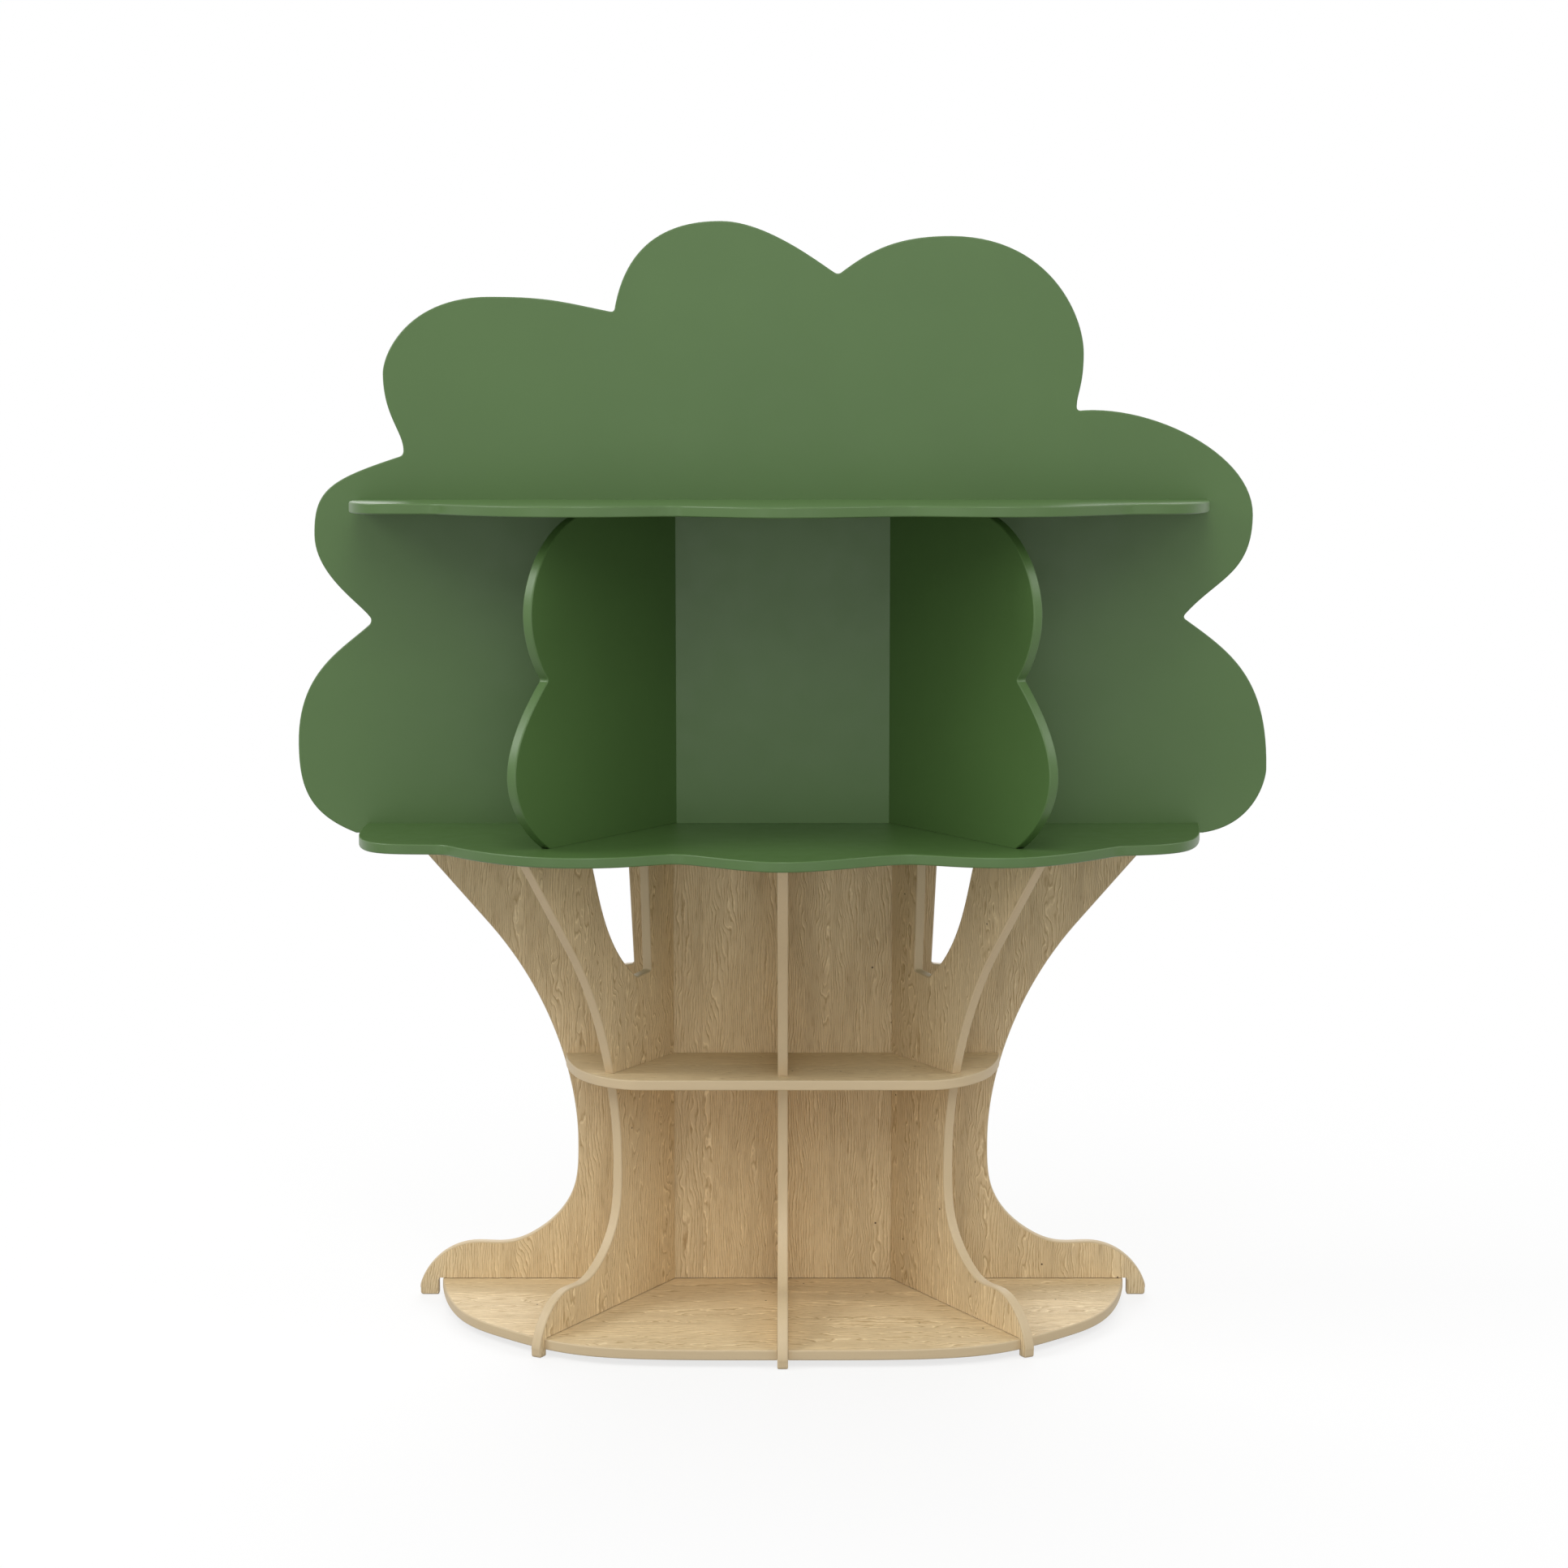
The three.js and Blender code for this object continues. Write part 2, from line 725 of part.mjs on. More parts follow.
// Dowels stand upright: each starts inside the shelf or the board below it
function addDowels() {
  const solid = dowelSolid();
  const hole = dowelHole();
  const inShelf = boardThickness * dowelShelfShare;
  for (const [name, plane] of Object.entries(trunkPlanes)) {
    finDowelShares.forEach((share, index) => {
      const at = planePoint(plane, share * limbReach, seamHeight + inShelf - dowelLength);
      const label = name.replace('trunk_fin', 'fin_dowel');
      fit(`${label}_${index + 1}`, solid, hole, at, 'up', [name, 'crown_shelf'], beech);
    });
  }
  for (const [name, plane] of Object.entries(dividerPlanes)) {
    const label = name.replace('crown_divider', 'divider_dowel');
    dividerFootDowelShares.forEach((share, index) => {
      const at = planePoint(plane, share * dividerReach, crownFloor - inShelf);
      fit(`${label}_foot_${index + 1}`, solid, hole, at, 'up', ['crown_shelf', name], beech);
    });
    dividerHeadDowelShares.forEach((share, index) => {
      const at = planePoint(plane, share * dividerReach, upperUnderside + inShelf - dowelLength);
      fit(`${label}_head_${index + 1}`, solid, hole, at, 'up', [name, 'upper_shelf'], beech);
    });
  }
}

function plateShape(grow) {
  const x = plateWidth / 2 + grow;
  const y = plateHeight / 2 + grow;
  const nodes = [[-x, -y], [x, -y], [x, y], [-x, y]].map(([a, b]) => corner(a, b, plateCorner + grow));
  return closeOutline(nodes);
}

function plateSlab(grow, depth) {
  const geometry = new THREE.ExtrudeGeometry(plateShape(grow), { depth, bevelEnabled: false });
  return toSolid(geometry.rotateX(Math.PI / 2));
}

// Joining plates, let in flush with the back, and the four screws that hold each
function addPlates() {
  const plate = plateSlab(0, plateThickness).translate([0, -jointGap, 0]);
  const pocket = plateSlab(jointGap, plateThickness + 2 * jointGap + overrun).translate([0, overrun, 0]);
  const solid = screwSolid(plateScrew);
  const hole = screwHole(plateScrew);
  for (const [word, side] of [['left', -1], ['right', 1]]) {
    const name = `joining_plate_${word}`;
    const at = new THREE.Vector3(side * platePlace, backRear, seamHeight);
    fit(name, plate, pocket, at, 'flat', ['crown_back', 'trunk_back'], steel);
    plateHoleShares.forEach((share, index) => {
      const spot = at.clone().add(new THREE.Vector3(0, -jointGap, share * plateHeight));
      const board = share < 0 ? 'trunk_back' : 'crown_back';
      fit(`plate_screw_${word}_${index + 1}`, solid, hole, spot, 'in', [name, board], steel);
    });
  }
}

// Assembly

function makePart() {
  addBoard('crown_back', toSolid(standAcross(crownBackShape())), green);
  makeCrownShelf('crown_shelf', crownShelfWidth, crownFloor);
  makeCrownShelf('upper_shelf', upperShelfWidth, upperTop);
  Object.keys(dividerPlanes).forEach(makeDivider);
  makeTrunkBack();
  Object.keys(trunkPlanes).forEach(makeFin);
  makeMiddleShelf();
  makeBaseShelf();
  addBaseScrews();
  addRearScrews();
  addDowels();
  addPlates();
  const pieces = new Map(boards);
  fittings.forEach(({ name, solid, material }) => pieces.set(name, { solid, material }));
  for (const { hole, boards: names } of fittings) {
    for (const name of names) {
      const piece = pieces.get(name);
      piece.solid = piece.solid.subtract(hole);
    }
  }
  const group = new THREE.Group();
  for (const [name, { solid, material }] of pieces) {
    const mesh = new THREE.Mesh(toGeometry(solid), material);
    mesh.name = name;
    group.add(mesh);
  }
  return group;
}

export default makePart();
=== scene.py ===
import math

import bmesh
import bpy
from bpy.props import FloatProperty, FloatVectorProperty, IntProperty, PointerProperty
from mathutils import Matrix, Vector
from mathutils.geometry import interpolate_bezier


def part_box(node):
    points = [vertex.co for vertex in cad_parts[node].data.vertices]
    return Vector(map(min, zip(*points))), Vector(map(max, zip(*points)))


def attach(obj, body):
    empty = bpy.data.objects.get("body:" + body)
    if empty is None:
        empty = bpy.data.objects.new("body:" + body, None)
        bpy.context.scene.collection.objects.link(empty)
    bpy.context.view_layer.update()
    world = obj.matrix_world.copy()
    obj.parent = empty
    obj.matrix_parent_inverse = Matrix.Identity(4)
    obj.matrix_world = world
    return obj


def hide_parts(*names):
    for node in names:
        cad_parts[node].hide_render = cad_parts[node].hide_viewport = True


bl_info = {
    "name": "Tree Bookshelf",
    "version": (1, 0, 0),
    "blender": (4, 5, 0),
    "location": "3D View > Sidebar > Tree Bookshelf",
    "description": "Builds a tree shaped bookshelf with its finishes and a plain studio",
    "category": "Object",
}

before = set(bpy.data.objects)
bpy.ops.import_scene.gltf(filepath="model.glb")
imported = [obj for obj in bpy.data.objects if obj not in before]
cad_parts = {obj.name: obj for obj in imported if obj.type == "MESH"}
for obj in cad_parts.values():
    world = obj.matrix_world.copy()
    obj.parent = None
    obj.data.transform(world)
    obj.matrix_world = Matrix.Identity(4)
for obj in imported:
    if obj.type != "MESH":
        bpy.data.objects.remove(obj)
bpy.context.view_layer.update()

MM = 0.001
BODY = "root"
# Gap between boards, gap over the base shelf, reach of a cut past its board, and a reach past everything
GAP = 0.3
SEAT_GAP = 0.9
OVERRUN = 4
FAR = 3000
# Merging distance, points on a rounded notch, and the shading of a board's faces
MERGE = 0.001
NOTCH_STEPS = 6
SMOOTH_ANGLE = math.radians(38)
SMOOTH_WEIGHT = 80
FACE_ALIGNED = 0.999

# Outline of the crown, clockwise from its lower left corner: shares of its width and height.
# Each row is a curve: two handles, its end, and True where it ends in a rounded notch.
CROWN_START = (-0.442, 0)
CROWN_LOBES = (
    ((-0.492, 0.0315), (-0.5, 0.078), (-0.5, 0.148)),
    ((-0.5, 0.271), (-0.4515, 0.3055), (-0.4225, 0.349), True),
    ((-0.4195, 0.367), (-0.48, 0.4165), (-0.48, 0.492)),
    ((-0.48, 0.5675), (-0.4635, 0.583), (-0.388, 0.622), True),
    ((-0.384, 0.657), (-0.4075, 0.68), (-0.4075, 0.754)),
    ((-0.4075, 0.788), (-0.381, 0.8785), (-0.298, 0.8785)),
    ((-0.237, 0.8785), (-0.2245, 0.8705), (-0.1715, 0.8535), True),
    ((-0.1595, 0.975), (-0.108, 1), (-0.063, 1)),
    ((-0.0115, 1), (0.049, 0.9175), (0.0565, 0.914), True),
    ((0.0875, 0.952), (0.1145, 0.976), (0.1705, 0.976)),
    ((0.269, 0.976), (0.3065, 0.852), (0.3065, 0.786)),
    ((0.3065, 0.7295), (0.299, 0.7225), (0.3, 0.6945), True),
    ((0.373, 0.7075), (0.4815, 0.6265), (0.4815, 0.5245)),
    ((0.4815, 0.426), (0.445, 0.422), (0.411, 0.3575), True),
    ((0.461, 0.3005), (0.5, 0.2605), (0.5, 0.1065)),
    ((0.5, 0.0905), (0.49, 0.0125), (0.435, 0)),
)
# Front edge of the crown shelves, from left to right: shares of the width and the depth
SHELF_START = (-0.5, 0)
SHELF_LOBES = (
    ((-0.5035, 0.643), (-0.4575, 0.55), (-0.387, 0.5755), True),
    ((-0.3515, 0.732), (-0.299, 0.907), (-0.226, 0.907)),
    ((-0.1735, 0.907), (-0.1495, 0.829), (-0.121, 0.8025), True),
    ((-0.085, 0.8415), (-0.0445, 1), (0, 1)),
    ((0.0485, 1), (0.093, 0.8415), (0.142, 0.812), True),
    ((0.1735, 0.834), (0.198, 0.9), (0.2425, 0.9)),
    ((0.299, 0.9), (0.3435, 0.732), (0.3845, 0.607), True),
    ((0.4645, 0.566), (0.4845, 0.5245), (0.5, 0)),
)
# Right half of the middle and base shelves: shares of the half width and of the depth
MIDDLE_START = (0.631, 1)
MIDDLE_CURVES = (
    ((0.769, 1), (0.892, 0.7575), (0.9445, 0.505)),
    ((0.9785, 0.328), (1, 0.1515), (1, 0)),
)
BASE_START = (0.116, 1)
BASE_CURVES = (
    ((0.518, 1), (0.5925, 0.9635), (0.7975, 0.683)),
    ((0.878, 0.573), (0.954, 0.452), (1, 0)),
)
# Trunk: limb, foot and slit, as shares of the reaches and heights that trunk_side gives them
LIMB_START = (0.515, 0.803)
LIMB_CURVES = (((0.1225, 0.641), (0, 0.452), (0, 0.34)),)
FOOT_START = (0, 0.333)
FOOT_CURVES = (
    ((0, 0.268), (0, 0.2095), (0.206, 0.154)),
    ((0.4025, 0.104), (0.492, 0.117), (0.6355, 0.1165)),
)
INSTEP_HANDLES = ((0.904, 0.115), (1.019, 0.026))
SLIT_START = (1, 1)
SLIT_CURVES = (((0.832, 0.743), (0.796, 0.305), (0.184, 0)),)
SLIT_HEEL = (-0.062, 0.0175)
# Front edge of a crown divider, from the top down: shares of its reach and of the bay's height
DIVIDER_START = (0.577, 1)
DIVIDER_CURVES = (
    ((0.7215, 0.983), (0.898, 0.858), (0.898, 0.703)),
    ((0.898, 0.6215), (0.841, 0.546), (0.7985, 0.5085), True),
    ((0.8705, 0.4495), (1, 0.342), (1, 0.23)),
    ((1, 0.1375), (0.908, 0.0515), (0.801, 0)),
)

# Countersunk screws: shank radius, head radius and depth of the countersink
LONG_SCREW = (2, 4, 2.4)
PLATE_SCREW = (1.6, 3.1, 1.5)
# Rounding of a plate pocket's corners, and clearance and sides of a hole
PLATE_CORNER = 4
PLATE_CORNER_STEPS = 4
HOLE_GAP = 0.15
HOLE_SIDES = 24

FINS = {"trunk_fin_left": -1, "trunk_fin_centre": 0, "trunk_fin_right": 1}
DIVIDERS = {"crown_divider_left": -1, "crown_divider_right": 1}
# Which fastenings go through which board
DRILLED = {
    "crown_back": ("crown_shelf_screw", "upper_shelf_screw", "joining_plate", "plate_screw"),
    "crown_shelf": ("crown_shelf_screw", "fin_dowel", "divider_dowel"),
    "upper_shelf": ("upper_shelf_screw", "divider_dowel"),
    "crown_divider_left": ("divider_dowel_left",),
    "crown_divider_right": ("divider_dowel_right",),
    "trunk_back": (
        "stem_screw", "middle_shelf_screw", "base_screw_back", "joining_plate", "plate_screw",
    ),
    "trunk_fin_left": ("base_screw_left", "fin_dowel_left"),
    "trunk_fin_centre": ("base_screw_centre", "stem_screw", "fin_dowel_centre"),
    "trunk_fin_right": ("base_screw_right", "fin_dowel_right"),
    "middle_shelf": ("middle_shelf_screw",),
    "base_shelf": ("base_screw",),
}


def colour(hex_value):
    """sRGB hex colour as linear RGBA."""
    channels = [int(hex_value[i:i + 2], 16) / 255 for i in (1, 3, 5)]
    linear = [c / 12.92 if c <= 0.04045 else ((c + 0.055) / 1.055) ** 2.4 for c in channels]
    return (*linear, 1.0)


UPWARD = Vector((0, 0, 1))
BACKWARD = Vector((0, 1, 0))

# Settings that a user would change


def length(name, description, value):
    """A length setting, given here in millimetres and kept by Blender in metres."""
    return FloatProperty(name=name, description=description, default=value * MM, min=0.0, unit="LENGTH")


def angle(name, description, value):
    """An angle setting, given here in degrees."""
    return FloatProperty(name=name, description=description, default=math.radians(value), subtype="ANGLE")


def tint(name, description, value):
    """A colour setting, given here as sRGB hex."""
    return FloatVectorProperty(
        name=name, description=description, default=colour(value), subtype="COLOR", size=4, min=0.0, max=1.0,
    )


class TreeSizes(bpy.types.PropertyGroup):
    """Sizes of the bookshelf"""

    thickness: length("Board thickness", "Thickness of every board", 15)
    edge: length("Edge radius", "Rounding of the long edges", 2.2)
    edge_steps: IntProperty(name="Edge steps", description="Faces across a rounded edge", default=4, min=1)
    curve_steps: IntProperty(name="Curve steps", description="Points along each curve", default=26, min=4)
    floor_gap: length("Floor gap", "Height of the base shelf over the floor", 10)
    lower_bay: length("Trunk bay", "Clear height of each trunk bay", 333)
    crown_bay: length("Crown bay", "Clear height between the crown shelves", 465)
    crown_height: length("Crown height", "Height of the crown board", 899)
    crown_width: length("Crown width", "Width of the crown board", 1438)
    crown_shelf_width: length("Crown shelf width", "Width of the lower crown shelf", 1238)
    upper_shelf_width: length("Upper shelf width", "Width of the upper crown shelf", 1252)
    shelf_depth: length("Crown shelf depth", "Depth of both crown shelves", 410)
    middle_width: length("Middle shelf width", "Width of the middle shelf", 650)
    middle_depth: length("Middle shelf depth", "Depth of the middle shelf", 198)
    base_width: length("Base shelf width", "Width of the base shelf", 1030)
    base_depth: length("Base shelf depth", "Depth of the base shelf", 366)
    trunk_bay_half: length("Half trunk bay", "Half width between the outer fins at the back", 163)
    fin_splay: angle("Fin splay", "Angle of the outer fins", 61)
    limb_reach: length("Limb reach", "Reach of a limb at the crown", 386)
    back_waist: length("Back waist", "Reach of the back board at its waist", 136.8)
    back_toe: length("Back toe", "Reach of the back board's toe", 377.3)
    back_hook: length("Back hook", "Width of the back board's toe", 28)
    fin_waist: length("Fin waist", "Reach of a fin at its waist", 147)
    side_toe: length("Side toe", "Reach of a side fin's toe", 367)
    centre_toe: length("Centre toe", "Reach of the centre fin's toe", 377)
    fin_hook: length("Fin hook", "Width of a fin's toe", 17)
    toe_straight: length("Toe straight", "Upright part of a toe", 10)
    slit_setback: length("Slit setback", "How far a slit starts behind the waist", 76)
    slit_mouth: length("Slit mouth", "Width of a slit at the crown", 157.5)
    slit_depth: length("Slit depth", "Depth of a slit", 201)
    divider_bay_half: length("Half crown bay", "Half width between the dividers at the back", 158)
    divider_splay: angle("Divider splay", "Angle of the dividers", 59)
    divider_reach: length("Divider reach", "Reach of a divider", 402)
    lobe_notch: length("Crown notch", "Rounding of the crown's notches", 6)
    shelf_notch: length("Shelf notch", "Rounding of the shelves' notches", 14)
    divider_notch: length("Divider notch", "Rounding of a divider's notch", 4)
    slit_corner: length("Slit corner", "Rounding at the bottom of a slit", 4)
    heel_corner: length("Heel corner", "Rounding of a toe's heel", 3)
    toe_corner: length("Toe corner", "Rounding of a toe's tip", 5)


class TreeFinishes(bpy.types.PropertyGroup):
    """Colours of the bookshelf"""

    leaf: tint("Leaf green", "Satin lacquer of the crown", "#4C6A37")
    # Light oak is the pale wood, and also the painted highlight on the ridge beside each ring line
    oak_light_and_highlight: tint("Light oak", "Light part of the grain", "#FAE5BB")
    oak_dark: tint("Dark oak", "Dark part of the grain", "#B2966A")
    oak_edge: tint("Oak edge", "Banding of the board edges", "#CBB692")
    steel: tint("Zinc", "Zinc plated screws and plates", "#B9BBBE")
    beech: tint("Beech", "Raw beech dowels", "#D0A97C")


class Measures:
    """The sizes as plain numbers, lengths in millimetres, with the levels that follow from them"""

    def __init__(self, scene):
        settings = scene.tree_sizes
        for name, item in settings.bl_rna.properties.items():
            if item.type in {"FLOAT", "INT"}:
                value = getattr(settings, name)
                setattr(self, name, value / MM if item.unit == "LENGTH" else value)
        self.base_top = self.floor_gap + self.thickness
        self.middle_bottom = self.base_top + self.lower_bay
        self.middle_top = self.middle_bottom + self.thickness
        self.seam = self.middle_top + self.lower_bay
        self.crown_floor = self.seam + self.thickness
        self.upper_bottom = self.crown_floor + self.crown_bay
        self.upper_top = self.upper_bottom + self.thickness
        self.back_rear = (self.shelf_depth + self.thickness) / 2
        self.back_front = self.back_rear - self.thickness
        self.trunk_root = self.trunk_bay_half + self.thickness / 2 / math.sin(self.fin_splay)
        self.divider_root = self.divider_bay_half + self.thickness / 2 / math.sin(self.divider_splay)


# Outlines: lists of [point, length over which the corner is rounded]


def corner(x, y, ease=0):
    """A corner of an outline, rounded over the given length."""
    return [Vector((x, y, 0)), ease]


def curve_nodes(start, curves, place, steps, notch=0):
    """Points of a chain of curves; place turns a pair of shares into a point."""
    here = place(start)
    nodes = [[here, 0]]
    for first, second, end, *is_notch in curves:
        there = place(end)
        points = interpolate_bezier(here, place(first), place(second), there, steps + 1)
        nodes.extend([point, 0] for point in points[1:])
        if is_notch:
            nodes[-1][1] = notch
        here = there
    return nodes


def step_along(nodes, index, direction, distance):
    """Point that lies a distance away from a node along the outline, and the nodes passed over."""
    passed = []
    here = nodes[index][0]
    count = len(nodes)
    while True:
        index = (index + direction) % count
        there = nodes[index][0]
        stretch = (there - here).length
        if stretch > distance:
            return here.lerp(there, distance / stretch), passed
        distance -= stretch
        passed.append(index)
        here = there


def eased_outline(nodes):
    """Rounds each corner that asks for it and returns the outline's points."""
    arcs = {}
    skipped = set()
    for index, (point, ease) in enumerate(nodes):
        if ease:
            before, passed_before = step_along(nodes, index, -1, ease)
            after, passed_after = step_along(nodes, index, 1, ease)
            skipped.update(passed_before + passed_after)
            arms = [before, before.lerp(point, 2 / 3), after.lerp(point, 2 / 3), after]
            arcs[index] = interpolate_bezier(*arms, NOTCH_STEPS + 1)
    points = []
    for index, (point, _) in enumerate(nodes):
        if index in arcs:
            points.extend(arcs[index])
        elif index not in skipped:
            points.append(point)
    return points


def mirrored(nodes):
    """The other half of an outline: mirrored, and walked the other way."""
    return [[Vector((-point.x, point.y, 0)), ease] for point, ease in reversed(nodes)]


# Boards

STAND_UP = Matrix.Rotation(math.pi / 2, 4, "X")


def kept_mesh(bm, name):
    """Turns a finished bmesh into a mesh of that name."""
    mesh = bpy.data.meshes.new(name)
    bm.to_mesh(mesh)
    bm.free()
    return mesh


def new_object(name, data):
    """A new object, linked to the scene."""
    thing = bpy.data.objects.new(name, data)
    bpy.context.scene.collection.objects.link(thing)
    return thing


def board_mesh(points, sizes, matrix):
    """Extrudes an outline to a board, rounds its long edges and puts it in its place."""
    bm = bmesh.new()
    bm.faces.new([bm.verts.new(point) for point in points])
    grown = bmesh.ops.extrude_face_region(bm, geom=bm.faces[:])
    top = [item for item in grown["geom"] if isinstance(item, bmesh.types.BMVert)]
    bmesh.ops.translate(bm, verts=top, vec=(0, 0, sizes.thickness))
    bmesh.ops.recalc_face_normals(bm, faces=bm.faces[:])
    rims = [edge for edge in bm.edges if abs(edge.verts[0].co.z - edge.verts[1].co.z) < sizes.edge]
    bmesh.ops.bevel(
        bm, geom=rims, offset=sizes.edge, offset_type="OFFSET", segments=sizes.edge_steps,
        profile=0.5, affect="EDGES", clamp_overlap=False, material=-1,
    )
    bmesh.ops.transform(bm, matrix=matrix, verts=bm.verts[:])
    return bm


def trim(bm, point, away):
    """Cuts off what lies beyond a plane and closes the cut."""
    geom = bm.verts[:] + bm.edges[:] + bm.faces[:]
    cut = bmesh.ops.bisect_plane(bm, geom=geom, dist=MERGE, plane_co=point, plane_no=away, clear_outer=True)
    rim = [item for item in cut["geom_cut"] if isinstance(item, bmesh.types.BMEdge)]
    bmesh.ops.holes_fill(bm, edges=rim, sides=0)


def add_block(bm, low, high, matrix=Matrix.Identity(4)):
    """Adds a block between two corners."""
    low, high = Vector(low), Vector(high)
    place = Matrix.Translation((low + high) / 2) @ Matrix.Diagonal((*(high - low), 1))
    bmesh.ops.create_cube(bm, size=1, matrix=matrix @ place)


def turned_mesh(profile, matrix):
    """Turns a profile of (radius, height) pairs about its axis and puts it in its place."""
    bm = bmesh.new()
    verts = [bm.verts.new((radius, 0, height)) for radius, height in profile]
    edges = [bm.edges.new(pair) for pair in zip(verts, verts[1:])]
    bmesh.ops.spin(
        bm, geom=verts + edges, cent=(0, 0, 0), axis=(0, 0, 1), angle=2 * math.pi,
        steps=HOLE_SIDES, use_merge=True,
    )
    bmesh.ops.remove_doubles(bm, verts=bm.verts[:], dist=MERGE)
    bmesh.ops.recalc_face_normals(bm, faces=bm.faces[:])
    bmesh.ops.transform(bm, matrix=matrix, verts=bm.verts[:])
    return kept_mesh(bm, "turned")


def fastening_cutter(name):
    """Mesh of the hole or pocket that a fastening sits in, from the fastening's own box."""
    low, high = (corner_point / MM for corner_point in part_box(name))
    middle = (low + high) / 2
    if name.startswith("joining_plate"):
        bm = bmesh.new()
        grow = Vector((GAP, GAP, GAP))
        add_block(bm, low - grow, high + grow + Vector((0, OVERRUN, 0)))
        upright = [edge for edge in bm.edges if abs(edge.verts[0].co.y - edge.verts[1].co.y) > GAP]
        bmesh.ops.bevel(
            bm, geom=upright, offset=PLATE_CORNER, offset_type="OFFSET", segments=PLATE_CORNER_STEPS,
            profile=0.5, affect="EDGES", material=-1,
        )
        return kept_mesh(bm, "pocket")
    if "dowel" in name:
        radius = (high.x - low.x) / 2 + HOLE_GAP
        depth = high.z - low.z + 2 * GAP
        profile = ((0, 0), (radius, 0), (radius, depth), (0, depth))
        return turned_mesh(profile, Matrix.Translation((middle.x, middle.y, low.z - GAP)))
    shank, head, sink = PLATE_SCREW if name.startswith("plate_screw") else LONG_SCREW
    if name.startswith("base_screw"):
        reach = high.z - low.z
        matrix = Matrix.Translation((middle.x, middle.y, low.z - GAP))
    else:
        reach = high.y - low.y
        matrix = Matrix.Translation((middle.x, high.y + GAP, middle.z)) @ STAND_UP
    head += HOLE_GAP
    shank += HOLE_GAP
    end = reach + 2 * GAP
    profile = ((0, -OVERRUN), (head, -OVERRUN), (head, GAP), (shank, sink + GAP), (shank, end), (0, end))
    return turned_mesh(profile, matrix)


def cut_with(piece, cutters):
    """Takes the cutters out of a piece, one after the other, and keeps the result as its mesh."""
    for mesh in cutters:
        tool = new_object("cutter", mesh)
        modifier = piece.modifiers.new("cut", "BOOLEAN")
        modifier.operation = "DIFFERENCE"
        modifier.solver = "EXACT"
        modifier.object = tool
        bpy.context.view_layer.update()
        depsgraph = bpy.context.evaluated_depsgraph_get()
        result = bpy.data.meshes.new_from_object(piece.evaluated_get(depsgraph))
        piece.modifiers.remove(modifier)
        bpy.data.objects.remove(tool)
        bpy.data.meshes.remove(mesh)
        old = piece.data
        piece.data = result
        bpy.data.meshes.remove(old)


def block_mesh(low, high, matrix=Matrix.Identity(4)):
    """A block as a mesh of its own, to cut with."""
    bm = bmesh.new()
    add_block(bm, low, high, matrix)
    return kept_mesh(bm, "block")


def finish_board(bm, node, materials, across, cutters=()):
    """Makes the board's object, cuts and drills it, and gives it its finish and its place in the frame.
    Where there are two materials, the second is for the edges: across points through the board."""
    name = f"{node}_board"
    piece = new_object(name, kept_mesh(bm, name))
    fastenings = [other for other in sorted(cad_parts) if other.startswith(DRILLED[node])]
    low, high = (corner_point / MM for corner_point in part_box(node))
    near = [other for other in fastenings if touches(other, low, high)]
    cut_with(piece, [*cutters, *(fastening_cutter(other) for other in near)])
    mesh = piece.data
    if not mesh.polygons:
        raise RuntimeError(f"{name} was cut away completely")
    mesh.name = name
    mesh.transform(Matrix.Scale(MM, 4))
    mesh.materials.clear()
    for material in materials:
        mesh.materials.append(material)
    if len(materials) > 1:
        for face in mesh.polygons:
            face.material_index = 0 if abs(face.normal.dot(across)) > FACE_ALIGNED else 1
    mesh.shade_smooth()
    mesh.set_sharp_from_angle(angle=SMOOTH_ANGLE)
    smooth = piece.modifiers.new("Even shading", "WEIGHTED_NORMAL")
    smooth.keep_sharp = True
    smooth.weight = SMOOTH_WEIGHT
    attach(piece, BODY)
    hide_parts(node)


def touches(fastening, low, high):
    """Whether a fastening's box reaches a board's box."""
    other_low, other_high = (corner_point / MM for corner_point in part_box(fastening))
    return all(other_low[i] < high[i] + GAP and other_high[i] > low[i] - GAP for i in range(3))


# Places of the boards


def across_place(sizes):
    """A board that stands across the piece, its rear face at the very back."""
    return Matrix.Translation((0, sizes.back_rear, 0)) @ STAND_UP


def flat_place(sizes, top):
    """A level board with its top at the given height, drawn forward from the back boards."""
    return Matrix.Translation((0, sizes.back_front, top)) @ Matrix.Rotation(math.pi, 4, "X")


def plane_turn(side, splay):
    """Heading of a fin or divider, about the upright axis."""
    heading = -math.pi / 2 if side == 0 else -splay
    return -math.pi - heading if side < 0 else heading


def plane_place(sizes, root, side, splay):
    """Stands a drawing of reach and height in the plane of a fin or divider."""
    turn = Matrix.Rotation(plane_turn(side, splay), 4, "Z") @ STAND_UP
    return Matrix.Translation((side * root, sizes.back_front, 0)) @ turn


def limb_curve(sizes, waist):
    """Curved part of a limb's outer edge, down to the waist."""

    def place(share):
        return Vector((waist + share[0] * (sizes.limb_reach - waist), share[1] * sizes.seam, 0))

    return curve_nodes(LIMB_START, LIMB_CURVES, place, sizes.curve_steps)


def lap_reach(sizes):
    """How far the notches of fins and middle shelf reach: half of a fin's reach at that shelf."""
    nodes = limb_curve(sizes, sizes.fin_waist)
    level = next(point for point, _ in nodes if point.y <= sizes.middle_top)
    return level.x / 2


